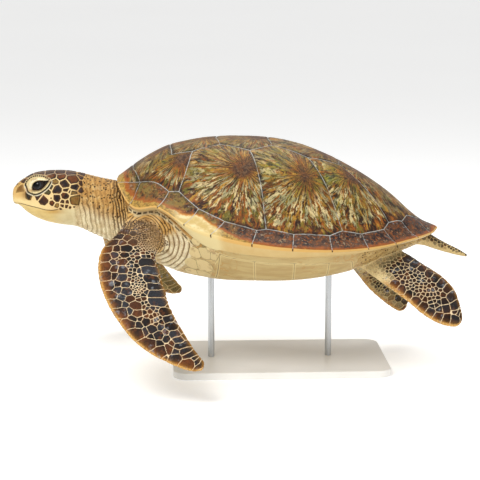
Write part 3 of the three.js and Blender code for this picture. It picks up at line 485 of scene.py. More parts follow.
class Graph:
    """A material's node graph, written as expressions; colours are sRGB hex codes."""

    def __init__(self, name, **shader):
        self.material = bpy.data.materials.new(name)
        self.material.use_nodes = True
        self.tree = self.material.node_tree
        self.tree.nodes.clear()
        self.shader = self.tree.nodes.new("ShaderNodeBsdfPrincipled")
        output = self.tree.nodes.new("ShaderNodeOutputMaterial")
        self.tree.links.new(self.shader.outputs[0], output.inputs[0])
        self.feed(**shader)

    def feed(self, **shader):
        for key, value in shader.items():
            self.put(self.shader.inputs[key.replace("_", " ")], value)

    def put(self, socket, value):
        if isinstance(value, bpy.types.NodeSocket):
            self.tree.links.new(value, socket)
        else:
            socket.default_value = (*paint(value), 1.0) if isinstance(value, str) else value

    def node(self, kind, inputs, output=0, **settings):
        made = self.tree.nodes.new(kind)
        for key, value in settings.items():
            setattr(made, key, value)
        for key, value in inputs.items():
            self.put(made.inputs[key], value)
        return made.outputs[output]

    def place(self, stretch=None):
        place = self.node("ShaderNodeTexCoord", {}, "Object")
        if stretch is None:
            return place
        return self.node("ShaderNodeMapping", {"Vector": place, "Scale": stretch})

    def field(self, name, output="Fac"):
        return self.node("ShaderNodeAttribute", {}, output, attribute_name=name)

    def fields(self, *names):
        return [self.field(name) for name in names]

    def math(self, operation, a, b=0.0):
        return self.node("ShaderNodeMath", {0: a, 1: b}, operation=operation)

    def add(self, a, b):
        return self.math("ADD", a, b)

    def less(self, a, b):
        return self.math("SUBTRACT", a, b)

    def product(self, *factors):
        total = factors[0]
        for factor in factors[1:]:
            total = self.math("MULTIPLY", total, factor)
        return total

    def swing(self, value, amount):
        """A noise's value made to swing round zero by so much."""
        return self.product(self.less(value, 0.5), amount)

    def step(self, value, low, high, start=0.0, end=1.0):
        return self.node("ShaderNodeMapRange", {0: value, 1: low, 2: high, 3: start, 4: end},
                         interpolation_type="SMOOTHSTEP")

    def mix(self, share, under, over, mode="MIX"):
        return self.node("ShaderNodeMix", {0: share, 6: under, 7: over}, 2, data_type="RGBA",
                         blend_type=mode)

    def fade(self, value, low, high, under, over):
        return self.mix(self.step(value, low, high), under, over)

    def over(self, share, tone):
        """Lays a tone over the colour so far."""
        self.colour = self.mix(share, self.colour, tone)

    def noise(self, vector, scale, detail=2.0, roughness=0.5, output=0):
        return self.node("ShaderNodeTexNoise", {"Vector": vector, "Scale": scale,
                         "Detail": detail, "Roughness": roughness}, output)

    def noises(self, vector, scale, detail=2.0, roughness=0.5):
        """Three noises of one size that don't follow each other."""
        return self.parts(self.noise(vector, scale, detail, roughness, 1))

    def cells(self, vector, scale, feature="F1", output="Distance"):
        return self.node("ShaderNodeTexVoronoi", {"Vector": vector, "Scale": scale}, output,
                         feature=feature)

    def vector(self, x, y, z):
        return self.node("ShaderNodeCombineXYZ", {0: x, 1: y, 2: z})

    def parts(self, vector):
        return [self.node("ShaderNodeSeparateXYZ", {0: vector}, i) for i in range(3)]

    def finish(self, bump=None, **shader):
        """The finished material: its colour, its bump (height, strength, distance) and more."""
        if bump:
            keys = ("Height", "Strength", "Distance")
            shader["Normal"] = self.node("ShaderNodeBump", dict(zip(keys, bump)))
        self.feed(Base_Color=self.colour, **shader)
        return self.material


# ------------------------------------------------------------------ upper shell

def rim_share(name):
    return RIM_SEAMS[int(name[1:])]


def on_rim(*names):
    return all(name.startswith("r") for name in names)


def corner(name, corners=SCUTE_CORNERS):
    if on_rim(name):
        return rim_point(rim_share(name))
    return np.array(corners[name[0]][int(name[1:])], float)


def edge_line(a, b, corners=SCUTE_CORNERS):
    """Plan points from corner a to corner b, on the rim's curve or bowed where the edge is."""
    if on_rim(a, b):
        return rim_point(np.linspace(rim_share(a), rim_share(b), RIM_STEPS))
    start, end = corner(a, corners), corner(b, corners)
    count = max(int(np.hypot(*(end - start)) / SEAM_STEP), 2)
    t = np.linspace(0, 1, count)[:, None]
    line = start + (end - start) * t
    bow = BOWED_SEAMS.get((a, b), BOWED_SEAMS.get((b, a), 0))
    line[:, 0] += bow * np.sin(math.pi * t[:, 0])
    return line


def around(names):
    """Each name with the next one of the closed ring."""
    return zip(names, names[1:] + names[:1])


def closed_loop(names):
    return np.concatenate([edge_line(a, b)[:-1] for a, b in around(names)])


def open_line(names, corners=SCUTE_CORNERS):
    return np.concatenate([edge_line(a, b, corners) for a, b in zip(names, names[1:])])


def both_halves(names):
    """The loop of a plate that crosses the midline."""
    half = open_line(names)
    return np.concatenate([half, mirrored(half[::-1], LEFT)])


def scutes():
    """Every scute's plan loop, kind and the plan point that its streaks spread from."""
    found = []
    for side in (LEFT, RIGHT):
        for names in RIM_SCUTES:
            heart = 0.55 * corner(names[2]) + 0.45 * corner(names[1])
            found.append((mirrored(closed_loop(names), side), RIM_SCUTE, mirrored(heart, side)))
        for names, heart in RIB_SCUTES:
            found.append((mirrored(closed_loop(names), side), RIB, mirrored(heart, side)))
    return found + [(both_halves(names), MIDDLE, heart) for names, heart in MIDDLE_SCUTES]


def seam_edges(groups):
    """The edges of these loops of corner names, each once, without those along the rim."""
    edges = {}
    for names in groups:
        for a, b in around(names):
            on_midline = all(abs(corner(name)[1]) < 1e-6 for name in (a, b))
            if not on_rim(a, b) and not on_midline:
                edges[tuple(sorted((a, b)))] = (a, b)
    return list(edges.values())


def shell_seams():
    """3-D points along the seams: the rib scutes' lower seam, and all the others."""
    lower, other = [], []
    groups = RIM_SCUTES + [names for names, _ in RIB_SCUTES + MIDDLE_SCUTES]
    for a, b in seam_edges(groups):
        if {a, b} == FAINT_SEAM:
            continue
        line = edge_line(a, b)
        if not (on_rim(a) or on_rim(b)):
            sway = noise(np.column_stack([line, line[:, 0] * 0]), 26, 5)
            line = line + SEAM_SWAY * sway[:, None]
        (lower if a[0] == b[0] == "s" else other).append(line)
    return [on_shell(both_sides(np.concatenate(lines))) for lines in (lower, other)]


def outline_radius(angle, outline):
    """Distance from the origin to a half outline, in the direction of angle."""
    turn = np.arctan2(outline[:, 1], outline[:, 0])
    order = np.argsort(turn)
    return np.interp(np.abs(angle), turn[order], np.hypot(*outline.T)[order])


def fill_outline(n, outline):
    """Plan points of an n by n grid that fills the outline, and their share of its radius."""
    disc = disc_points(n)
    size = np.abs(outline).max(0)
    plan = disc * size
    angle = np.arctan2(plan[:, 1], plan[:, 0])
    oval = 1 / np.hypot(np.cos(angle) / size[0], np.sin(angle) / size[1])
    reach = outline_radius(angle, outline)
    return plan * (reach / oval)[:, None], np.hypot(*disc.T), reach


def streak_field(points, loops):
    """For each point its scute's kind, number and a (cos, sin, distance) vector from its heart."""
    kind, number = np.zeros((2, len(points)))
    heart = np.zeros((len(points), 2))
    for i, (loop, code, origin) in enumerate(loops):
        here = inside(points[:, :2], loop)
        kind[here], number[here], heart[here] = code, i + 1, origin
    away = points - on_shell(heart)
    outward = np.where(np.abs(points[:, 1]) >= np.abs(heart[:, 1]), 1.0, -1.0)
    across = np.hypot(away[:, 1], away[:, 2]) * outward
    reach = np.maximum(np.hypot(away[:, 0], across), 1e-3)
    return kind, number, np.column_stack([away[:, 0] / reach, across / reach, reach / 100])


# Where algae and wear tint the shell green, as (x, distance from midline, radius, strength).
GREEN_PATCHES = [(-150, 95, 46, 0.5), (-185, 120, 40, 0.4), (-30, 165, 42, 0.9),
                 (-14, 120, 36, 0.7), (20, 215, 34, 0.5), (120, 150, 40, 0.9),
                 (150, 190, 34, 0.7), (130, 110, 34, 0.5), (-330, 90, 40, 0.5),
                 (200, 170, 32, 0.5), (-260, 60, 36, 0.3)]


def upper_shell():
    plan, share, reach = fill_outline(SHELL_GRID, RIM)
    flat = on_shell(plan)
    lower_seam, other_seams = shell_seams()
    low = distances(flat, lower_seam)
    seam = np.minimum(distances(flat, other_seams), low)
    rim_gap = (1 - share) * reach
    kind, number, streak = streak_field(flat, scutes())
    height = SCUTE_RAISE - TROUGH_DEPTH * (1 - smooth(seam, 0, TROUGH_WIDTH))
    height -= SEAM_DEPTH * hump(seam, 0, SEAM_WIDTH)
    height += 0.5 * noise(flat, 34, 3) + 0.25 * noise(flat, 9, 4)
    surface = flat[:, 2] + height * smooth(rim_gap, 0, 5)

    border = grid_border(SHELL_GRID)
    rim = flat[border]
    length = np.hypot(rim[:, 0], rim[:, 1])
    rings = []
    for down in EDGE_RINGS:
        inset = edge_inset(rim[:, 0]) * down - EDGE_BULGE * math.sin(math.pi * down ** 0.7)
        xy = rim[:, :2] * (1 - inset / length)[:, None]
        rings.append(np.column_stack([xy, rim[:, 2] - edge_drop(rim[:, 0]) * down]))
    edge = rings[-1][:, :2]
    rings += [on_shell(edge * inward) - (0, 0, SHELL_THICKNESS) for inward in INNER_RINGS]
    centre = (0, 0, float(shell_top(0, 0)) - SHELL_THICKNESS)
    obj = mesh_object("turtle_upper_shell", *plate_mesh(SHELL_GRID, plan, surface, rings, centre))

    green = np.zeros(len(flat))
    for x, y, radius, strength in GREEN_PATCHES:
        gap = np.hypot(flat[:, 0] - x, np.abs(flat[:, 1]) - y)
        green = np.maximum(green, strength * hump(gap, 0, radius))
    # The rings take the border's fields and the last point takes the first one's.
    source = np.concatenate([np.arange(len(flat)), np.tile(border, len(rings)), [0]])
    downs = EDGE_RINGS + [INSIDE] * len(INNER_RINGS)
    wall = np.concatenate([np.zeros(len(flat)), np.repeat(downs, len(border)), [0]])
    fields = {"low": low, "kind": kind, "number": number, "green": green, "streak": streak,
              "band": spline(RIM_BAND)(flat[:, 0])}
    set_fields(obj, wall=wall, rim_gap=rim_gap[source] * (wall == 0),
               seam=seam[source] + INSIDE_SEAM_GAP * (wall > 1),
               **{name: values[source] for name, values in fields.items()})
    dress(obj, shell_material(), ["carapace"])


# Noises whose place is a streak's direction: scales across and along the streak, and its own.
STREAKS = [(4.0, 1.1, 1.4), (11.0, 1.9, 1.4), (24.0, 4.0, 1.3)]


def shell_material():
    g = Graph("turtle_shell_horn", Roughness=0.42, Coat_Weight=0.03, Coat_Roughness=0.3,
              Specular_IOR_Level=0.16)
    place = g.place()
    number, kind, seam, low = g.fields("number", "kind", "seam", "low")
    gap, wall, band = g.fields("rim_gap", "wall", "band")
    cos, sin, reach = g.parts(g.field("streak", "Vector"))
    mottles = g.noises(place, 36.0, 5.0, 0.62)
    patches = g.noises(place, 11.0, 2.0, 0.5)
    flecks = g.noises(place, 130.0, 3.0, 0.6)

    # Streaks spread from the scute's heart, and waver near it.
    depth = g.add(reach, g.product(number, 3.7))
    sway = g.step(reach, 0.0, 0.5, 0.9, 0.12)
    cos, sin = g.add(cos, g.swing(mottles[0], sway)), g.add(sin, g.swing(mottles[1], sway))
    broad, fine, hairs = [
        g.noises(g.vector(g.product(cos, across), g.product(sin, across),
                          g.product(depth, away)), scale, 3.0, 0.6)
        for across, away, scale in STREAKS]

    is_rim, is_rib = g.step(kind, 1.4, 1.8), g.step(kind, 0.9, 0.4)
    heart = g.add(reach, g.swing(patches[1], 1.1))
    g.colour = g.fade(broad[0], 0.4, 0.6, "301b11", "6a3f19")
    g.over(g.step(fine[1], 0.48, 0.6, 0.0, 0.85), "98561a")
    g.over(g.product(g.step(heart, 0.14, 0.4), g.step(fine[0], 0.48, 0.58), 0.9),
           g.fade(broad[1], 0.42, 0.58, "ac7f30", "686024"))
    above = g.step(g.add(low, g.swing(fine[2], 120.0)), 26.0, 38.0)
    light = g.step(g.add(fine[2], g.product(hairs[0], 0.35)), 0.66, 0.75)
    pale = g.product(above, g.step(heart, 0.35, 0.8), light, g.step(sin, -0.7, 0.55, 0.4, 1.0),
                     g.step(is_rib, -0.2, 1.0, 0.5, 1.0))
    g.over(g.product(pale, 0.95), g.fade(broad[2], 0.44, 0.58, "948e68", "cdb884"))
    g.over(g.product(g.field("green"), g.step(mottles[2], 0.38, 0.58), 0.85),
           g.fade(fine[1], 0.42, 0.58, "34401c", "8c8a2c"))
    g.over(g.product(g.step(heart, 0.42, 0.04), g.step(mottles[1], 0.3, 0.56), 0.9),
           g.fade(flecks[1], 0.4, 0.62, "33261f", "6b5038"))
    g.over(g.product(g.step(is_rib, 0.6, 0.2), g.step(mottles[1], 0.42, 0.62), 0.5), "5c4830")
    g.over(g.step(hairs[1], 0.53, 0.63, 0.0, 0.85), "1e130b")
    g.over(g.step(flecks[0], 0.58, 0.7, 0.0, 0.75), "24180f")
    horn = g.colour

    # Rim scutes: dark marbling, rust below it and an ochre edge, cream at the front.
    g.colour = g.fade(mottles[1], 0.4, 0.6, "241b1a", "5a3c28")
    g.over(g.product(g.step(flecks[2], 0.5, 0.62), 0.75), "8a4c1e")
    speckled = g.add(flecks[1], g.product(mottles[0], 0.6))
    g.over(g.product(g.step(speckled, 0.9, 1.0), 0.6), "a08a68")
    g.over(g.product(g.step(flecks[1], 0.56, 0.68), g.step(seam, 22.0, 6.0), 0.6), "7d8083")
    g.over(g.product(g.step(band, 8.0, 15.0), g.step(mottles[2], 0.36, 0.6), 0.65),
           g.fade(patches[0], 0.42, 0.6, "ab7238", "8f7a3c"))
    g.over(g.step(flecks[0], 0.55, 0.68, 0.0, 0.8), "1d1512")
    g.colour = g.mix(is_rim, horn, g.colour)
    g.over(g.product(g.step(seam, 11.0, 2.5), g.step(mottles[2], 0.42, 0.6), 0.8), "211a18")

    rough_gap = g.less(g.add(gap, g.swing(mottles[0], 30.0)), band)
    wide_band = g.step(band, 17.0, 26.0)
    cream = g.fade(mottles[1], 0.4, 0.62, "dccb98", "c2a868")
    olive_gold = g.fade(flecks[1], 0.42, 0.62, "b58f44", "75602c")
    g.over(g.step(rough_gap, 14.0, 2.0, 0.0, 0.85), "9a5420")
    g.over(g.product(g.step(rough_gap, 7.0, 1.0), wide_band, 0.8), "c58a3a")
    g.over(g.step(rough_gap, 2.0, -3.0, 0.0, 0.95), g.mix(wide_band, olive_gold, cream))
    g.over(g.step(gap, 3.2, 1.6), g.mix(wide_band, "cda25c", "d8c084"))
    lip = g.mix(mottles[1], "bd9a5c", "ceb681")
    g.over(g.step(wall, 0.12, 0.26), g.mix(wide_band, lip, "d3c08c"))
    width = g.add(seam, g.swing(mottles[0], 1.4))
    g.over(g.product(g.step(width, 1.45, 0.7), g.step(wall, 0.2, 0.05), 0.88), "aeafa8")
    notch = g.product(g.step(seam, 2.6, 1.2), g.step(gap, 3.0, 1.0), g.step(wall, 0.22, 0.12))
    g.over(notch, "4a3018")
    return g.finish((g.add(g.product(fine[0], 0.7), flecks[0]), 0.4, 0.0012),
                    Roughness=g.step(g.add(flecks[2], mottles[1]), 0.7, 1.3, 0.36, 0.58))


# ------------------------------------------------------------------ lower shell

def bridge_share(angle):
    """1 where the lower shell joins the upper one."""
    return smooth(angle, *BRIDGE_START) * smooth(-angle, *BRIDGE_END)


def plastron_outline():
    """Half outline of the lower shell, reaching the rim scutes along the bridge."""
    line = open_line(PLASTRON_RIM, PLASTRON_CORNERS)
    angle = np.arctan2(line[:, 1], line[:, 0])
    bridge = bridge_share(angle)
    inner_rim = RIM * (1 - (edge_inset(RIM[:, 0]) - 3) / np.hypot(*RIM.T))[:, None]
    wide = outline_radius(angle, inner_rim)
    radius = np.hypot(*line.T)
    return line * (1 + (np.maximum(wide, radius) / radius - 1) * bridge)[:, None]


def lower_shell():
    plan, share, reach = fill_outline(PLASTRON_GRID, plastron_outline())
    edges = {tuple(sorted(pair)) for names in PLASTRON_PLATES for pair in around(names)}
    half = np.concatenate([edge_line(a, b, PLASTRON_CORNERS) for a, b in sorted(edges)])
    middle = np.arange(PLASTRON_CORNERS["m"][0][0], PLASTRON_CORNERS["m"][-1][0], SEAM_STEP)
    seams = np.concatenate([both_sides(half), np.column_stack([middle, middle * 0])])
    flat = on_belly(plan)
    seam = distances(flat, on_belly(seams))
    rim_gap = (1 - share) * reach
    drop = PLASTRON_RAISE - 0.7 * (1 - smooth(seam, 0, 4))
    drop += 0.35 * noise(flat, 40, 8) + 0.2 * noise(flat, 11, 9)
    surface = flat[:, 2] - drop * smooth(rim_gap, 0, 16) + 2.4 * hump(rim_gap, 0, 5)
    rim = flat[grid_border(PLASTRON_GRID), :2]
    rings = [on_belly(rim * inward) + (0, 0, PLASTRON_DEPTH) for inward in PLASTRON_RINGS]
    points, quads, fan = plate_mesh(PLASTRON_GRID, plan, surface, rings,
                                    (0, 0, float(belly_height(0, 0)) + PLASTRON_DEPTH))
    obj = mesh_object("turtle_lower_shell", points, quads[:, ::-1], fan[:, ::-1])
    extra = len(points) - len(flat)
    set_fields(obj, seam=np.append(seam, np.full(extra, 30.0)),
               rim_gap=np.append(rim_gap, np.zeros(extra)))
    dress(obj, plastron_material(), ["plastron"])


def plastron_material():
    g = Graph("turtle_belly_plates", Roughness=0.5, Specular_IOR_Level=0.35)
    place, seam = g.place(), g.field("seam")
    soft, mottle, fine = g.noise(place, 7.0, 3.0), g.noise(place, 26.0, 4.0), g.noise(place, 150.0)
    grain = g.noise(g.place((6, 30, 30)), 1.6, 4.0, 0.6)
    g.colour = g.fade(grain, 0.35, 0.7, "a98e59", "b9a26c")
    g.over(g.step(soft, 0.55, 0.75, 0.0, 0.4), "a88a4c")
    g.over(g.step(mottle, 0.62, 0.74, 0.0, 0.6), "a0742f")
    off_vein = g.math("ABSOLUTE", g.less(mottle, 0.5))
    g.over(g.product(g.step(off_vein, 0.028, 0.008), g.step(soft, 0.44, 0.58), 0.5), "a9762c")
    # A pale band beside each seam is a painted highlight on the seams' edges.
    g.over(g.product(g.step(seam, 1.2, 2.0), g.step(seam, 4.6, 2.6), 0.6), "d3bf88")
    g.over(g.step(seam, 1.5, 0.6, 0.0, 0.75), "6d6549")
    return g.finish((g.add(grain, fine), 0.2, 0.001))


# ------------------------------------------------------------------ soft body

def loft_mesh(rings):
    """Points, quads and triangles of a closed loft through (rings, points, 3)."""
    count, size = rings.shape[:2]
    index = np.arange(count * size).reshape(count, size)
    quads = np.concatenate([ring_quads(index[k], index[k + 1]) for k in range(count - 1)])
    points = np.concatenate([rings.reshape(-1, 3), [rings[0].mean(0), rings[-1].mean(0)]])
    first = np.stack([index[0], np.full(size, count * size), np.roll(index[0], -1)], 1)
    last = np.stack([index[-1], np.full(size, count * size + 1), np.roll(index[-1], -1)], 1)
    return points, quads, np.concatenate([first[:, ::-1], last])


def oval(x, y, middle, wide, tall, angle, power, taper):
    """Point of a rounded section: angle 0 is its right side and 90 degrees its top."""
    sine, cosine = np.sin(np.radians(angle)), np.cos(np.radians(angle))
    rise = np.sign(sine) * np.abs(sine) ** (2 / power)
    across = np.sign(cosine) * np.abs(cosine) ** (2 / power) * (1 - taper * rise)
    return np.stack(np.broadcast_arrays(x, y + across * wide, middle + rise * tall), -1)


def head_point(x, angle):
    top, bottom = nape_top(x), throat_bottom(x)
    return oval(x, 0, (top + bottom) / 2, neck_half_width(x), (top - bottom) / 2, angle,
                HEAD_POWER, HEAD_TAPER)


TAIL_TRACKS = tracks([[*at, wide, tall] for at, wide, tall in TAIL])


def tail_point(t, angle):
    x, y, z, wide, tall = [track(t) for track in TAIL_TRACKS]
    return oval(x, y, z, wide, tall, angle, 2.1, 0)


class Flipper:
    """A flipper's surface from its stations: t runs along it and share across it."""

    def __init__(self, stations, side, swing=0):
        self.side, self.last = side, len(stations) - 1
        share = np.clip((np.arange(len(stations)) - SWING_FROM) / SWING_SPAN, 0, 1)
        shift = np.outer(swing * share ** 2, (1, 0, 0))
        lead, trail, thick = zip(*stations)
        self.curves = [tracks(np.array(edge, float) - shift) for edge in (lead, trail)]
        self.thick = spline(list(enumerate(thick)))

    def ends(self, t):
        t = np.clip(t, 0, self.last)
        return [np.stack([c(t) * s for c, s in zip(edge, (1, self.side, 1))], -1)
                for edge in self.curves]

    def section(self, t):
        """Leading point, chord vector, unit normal and thickness at t."""
        t = np.asarray(t, float)
        lead, trail = self.ends(t)
        before, after = self.ends(t - 0.5), self.ends(t + 0.5)
        normal = unit(np.cross(trail - lead, after[0] + after[1] - before[0] - before[1]))
        return lead, trail - lead, normal, self.thick(t)

    def surface(self, t, share, face):
        """Point at share of the chord; face 1 is the outer side and -1 the inner one."""
        lead, chord, normal, thick = self.section(t)
        stout = np.minimum(thick / np.linalg.norm(chord, axis=-1), 1)
        sign = face * self.side
        round_part = 2 * np.sqrt(share * (1 - share))
        wing = 1.45 * np.sqrt(share) * (1 - share) ** 0.8 + FLIPPER_EDGE / thick * share
        rise = sign * (round_part * stout + wing * (1 - stout)) * thick / 2
        return lead + chord * np.asarray(share)[..., None] + normal * rise[..., None]

    def rings(self, step=0.06, sides=64):
        angle = 2 * math.pi * (np.arange(sides) + 0.5) / sides
        share = (1 - np.cos(angle)) / 2
        face = np.sign(np.sin(angle)) * self.side
        t = np.arange(0, self.last + 1e-6, step)
        grid_t, grid_share = np.meshgrid(t, share, indexing="ij")
        return self.surface(grid_t, grid_share, face), grid_t

    def coordinates(self, points, t):
        """Distances in mm from the leading and trailing edge, and height over the chord."""
        for _ in range(2):
            (back, _), (middle, chord), (away, _) = [
                (lead + chord / 2, chord)
                for lead, chord in (self.section(t + off)[:2] for off in (-0.25, 0, 0.25))]
            along = (away - back) * 2
            across = unit(chord)
            true_along = along - across * (along * across).sum(1, keepdims=True)
            off = ((points - middle) * true_along).sum(1) / (true_along ** 2).sum(1)
            t = np.clip(t + np.clip(off, -0.3, 0.3), 0, self.last)
        lead, chord, normal, _ = self.section(t)
        length = np.linalg.norm(chord, axis=1)
        from_lead = ((points - lead) * chord).sum(1) / length
        height = ((points - lead) * normal).sum(1) * self.side
        return t, from_lead, length - from_lead, height


FLIPPERS = [Flipper(FRONT_FLIPPER, LEFT), Flipper(FRONT_FLIPPER, RIGHT, RIGHT_SWING),
            Flipper(REAR_FLIPPER_LEFT, LEFT), Flipper(REAR_FLIPPER_RIGHT, RIGHT)]
# Regions of the skin, in the order of the lofts.
TRUNK, HEAD, TAIL_REGION, FIRST_FLIPPER = 0, 1, 2, 3


def trunk_rings():
    x = np.linspace(BODY_FRONT, BODY_REAR, TRUNK_GRID[0])[:, None]
    reach = half_width(x) - edge_inset(x) - body_inset(x)
    y = reach * np.sin(np.linspace(-math.pi / 2, math.pi / 2, TRUNK_GRID[1]))[None, :]
    belly = belly_height(x, y)
    roof = np.maximum(shell_top(x, y) - SHELL_THICKNESS - ROOF_GAP, belly + TRUNK_MIN_DEPTH)
    under, over = [np.stack([x + 0 * y, y, z], -1) for z in (belly + TRUNK_FLOOR_GAP, roof)]
    rings = np.concatenate([under, over[:, ::-1]], 1)
    return rings, rings[..., 0]


def ring_angles(count):
    return (np.arange(count) + 0.5)[None, :] * 360 / count


def head_rings():
    front, back = NAPE_TOP[0][0], NAPE_TOP[-1][0]
    share = np.linspace(0, 1, HEAD_GRID[0])[:, None] ** HEAD_CROWDING
    x = front + (back - front) * share
    return head_point(x, ring_angles(HEAD_GRID[1])), x


def tail_rings():
    t = np.linspace(0, len(TAIL) - 1, TAIL_GRID[0])[:, None]
    return tail_point(t, ring_angles(TAIL_GRID[1])), t


def ball_rings(centre, radius):
    polar = np.linspace(0.02, math.pi - 0.02, BALL_GRID[0])[:, None]
    turn = np.arange(BALL_GRID[1])[None, :] * math.tau / BALL_GRID[1]
    ball = np.stack([np.sin(polar) * np.cos(turn), np.sin(polar) * np.sin(turn),
                     np.cos(polar) + 0 * turn], -1)
    return ball * radius + centre


def body_lofts():
    """The rings of trunk, head, tail and flippers, each with the places along it."""
    return [trunk_rings(), head_rings(), tail_rings(), *(f.rings() for f in FLIPPERS)]


def samples():
    """Points over the body's surfaces, their region and their place along it."""
    parts = [(rings.reshape(-1, 3), np.full(rings[..., 0].size, code),
              np.broadcast_to(along, rings.shape[:2]).ravel())
             for code, (rings, along) in enumerate(body_lofts())]
    return [np.concatenate(column) for column in zip(*parts)]


def fused_body():
    """All lofts melted into one fine mesh: points in mm and quads."""
    lofts = [rings for rings, _ in body_lofts()]
    lofts += [ball_rings(mirrored(EYE_CENTRE, side), LID_RADIUS) for side in (LEFT, RIGHT)]
    meshes = [loft_mesh(rings) for rings in lofts]
    starts = np.cumsum([0] + [len(mesh[0]) for mesh in meshes])
    faces = [np.concatenate([mesh[k] + start for mesh, start in zip(meshes, starts)])
             for k in (1, 2)]
    rough = mesh_object("rough_body", np.concatenate([mesh[0] for mesh in meshes]), *faces)
    fuse = rough.modifiers.new("fuse", "REMESH")
    fuse.mode = "VOXEL"
    fuse.voxel_size = VOXEL * MM
    mesh = rough.evaluated_get(bpy.context.evaluated_depsgraph_get()).to_mesh()
    co = np.empty(len(mesh.vertices) * 3, np.float32)
    mesh.vertices.foreach_get("co", co)
    corners = np.empty(len(mesh.loops), np.int32)
    mesh.loops.foreach_get("vertex_index", corners)
    bpy.data.objects.remove(rough)
    return co.reshape(-1, 3) / MM - (0, 0, LIFT), corners.reshape(-1, 4)


def hidden_by_shells(points):
    """True well inside the upper shell's cover, or over the lower shell."""
    x, y, z = points.T
    share = np.abs(y) / np.maximum(half_width(x) - edge_inset(x), 1)
    above = (z > shell_top(x, y) - COVER_DEPTH) & (share < COVER_SHARE)
    above &= (x > COVER_FROM) & (x < COVER_TO)
    angle = np.arctan2(y, x)
    gap = outline_radius(angle, plastron_outline()) - np.hypot(x, y)
    below = (z < belly_height(x, y) + BELLY_DEPTH) & (gap > BELLY_INSET)
    side = bridge_share(np.abs(angle)) > BRIDGE_LEAST
    return above | below | (side & (share > BRIDGE_SHARE))


class Surface:
    """The skin's mesh, with the sums over neighbours that its smoothing needs."""

    def __init__(self, points, quads):
        self.points, self.quads = points, quads
        self.source = np.concatenate([quads.ravel(), np.roll(quads, -1, 1).ravel()])
        self.target = np.concatenate([np.roll(quads, -1, 1).ravel(), quads.ravel()])
        self.degree = np.maximum(np.bincount(self.source, minlength=len(points)), 1)

    def average(self, values):
        columns = values.reshape(len(values), -1)
        sums = [np.bincount(self.source, columns[self.target, k], len(values))
                for k in range(columns.shape[1])]
        return (np.stack(sums, 1) / self.degree[:, None]).reshape(values.shape)

    def relax(self, strength):
        self.points = self.points + (self.average(self.points) - self.points) * strength

    def diffuse(self, values, rounds):
        for _ in range(rounds):
            values = self.average(values)
        return values

    def normals(self):
        a, b, c, d = [self.points[self.quads[:, k]] for k in range(4)]
        face = np.cross(c - a, d - b)
        total = np.stack([sum(np.bincount(self.quads[:, j], face[:, k], len(self.points))
                              for j in range(4)) for k in range(3)], 1)
        return total / np.maximum(np.linalg.norm(total, axis=1, keepdims=True), 1e-9)


def trimmed(points, quads, keep):
    quads = quads[keep[quads].all(1)]
    used = np.unique(quads)
    index = np.zeros(len(points), int)
    index[used] = np.arange(len(used))
    return points[used], index[quads], used


# ------------------------------------------------------------------ scales

# How many points are measured at a time, against how many nearest seeds.
CHUNK, NEIGHBOURS = 6000, 8
# Columns of a seed.
PLACE, RADIUS, INNER, RIM_COLOUR, RELIEF, GROUP = range(6)


class Scales:
    """Seeds of scales: place with a fourth coordinate, radius, inner and rim colour, relief.

    Seeds of one group make one long scale, and no scale reaches further than so many radii.
    """

    def __init__(self, reach):
        self.reach, self.seeds = reach, []

    def add(self, place, radius, colour, relief, rim=None, group=None):
        self.seeds.append((place, radius, colour, colour if rim is None else rim, relief,
                           len(self.seeds) if group is None else group))

    def column(self, i, kind=float):
        return np.array([seed[i] for seed in self.seeds], kind)

    def fill(self, candidates, radii, colours, relief, rng, spacing=0.9):
        """Adds candidates in random order wherever there is room for a scale."""
        count = len(self.seeds)
        room = count + len(candidates)
        place, radius = np.full((room, 4), 1e6), np.zeros(room)
        if count:
            place[:count], radius[:count] = self.column(PLACE), self.column(RADIUS)
        for i in rng.permutation(len(candidates)):
            gap = ((place[:count] - candidates[i]) ** 2).sum(1)
            if (gap > (spacing * (radius[:count] + radii[i])) ** 2).all():
                place[count], radius[count] = candidates[i], radii[i]
                self.add(candidates[i], radii[i], colours[i], relief)
                count += 1

    def measure(self, points):
        """For each 4-D point its scale's number and the distance in mm to the scale's edge."""
        seeds, radius = self.column(PLACE, np.float32), self.column(RADIUS, np.float32)
        group = self.column(GROUP, int)
        offset = (seeds ** 2).sum(1) - radius ** 2
        number, edge = np.empty(len(points), int), np.empty(len(points))
        for start in range(0, len(points), CHUNK):
            part = points[start:start + CHUNK].astype(np.float32)
            power = offset - 2 * part @ seeds.T
            few = np.argpartition(power, NEIGHBOURS - 1, axis=1)[:, :NEIGHBOURS]
            value = np.take_along_axis(power, few, 1)
            order = np.argsort(value, axis=1)
            few, value = np.take_along_axis(few, order, 1), np.take_along_axis(value, order, 1)
            own = seeds[few[:, 0]]
            apart = np.linalg.norm(seeds[few[:, 1:]] - own[:, None], axis=2)
            gaps = (value[:, 1:] - value[:, :1]) / (2 * np.maximum(apart, 1e-3))
            gaps = np.where(group[few[:, 1:]] == group[few[:, :1]], 1e3, gaps)
            away = np.linalg.norm(part - own, axis=1)
            number[start:start + CHUNK] = few[:, 0]
            reach = self.reach * radius[few[:, 0]]
            edge[start:start + CHUNK] = np.minimum(gaps.min(1), reach - away)
        return number, edge


SLATE, DARK, CHOCOLATE, BLUE_GREY, RUST, OCHRE, OLIVE, TAN, CREAM = map(paint, (
    "201e1f", "15110f", "301c11", "3c4048", "84481c", "c08838", "544624", "bf9656", "d9c48e"))
# How far over a flipper's chord its faces part in the fourth coordinate, and how strongly.
SIDE_HEIGHT, SIDE_WEIGHT = 8, 2.5
# Mm between the seeds of a long scale, and the stretch of t that a flipper is measured by.
SEED_SPACING, STRIDE = 7, 0.05


def lifted(points, height):
    """Adds the fourth coordinate that keeps a thin flipper's two faces apart."""
    side = np.clip(height, -SIDE_HEIGHT, SIDE_HEIGHT) * SIDE_WEIGHT
    return np.column_stack([points, side])


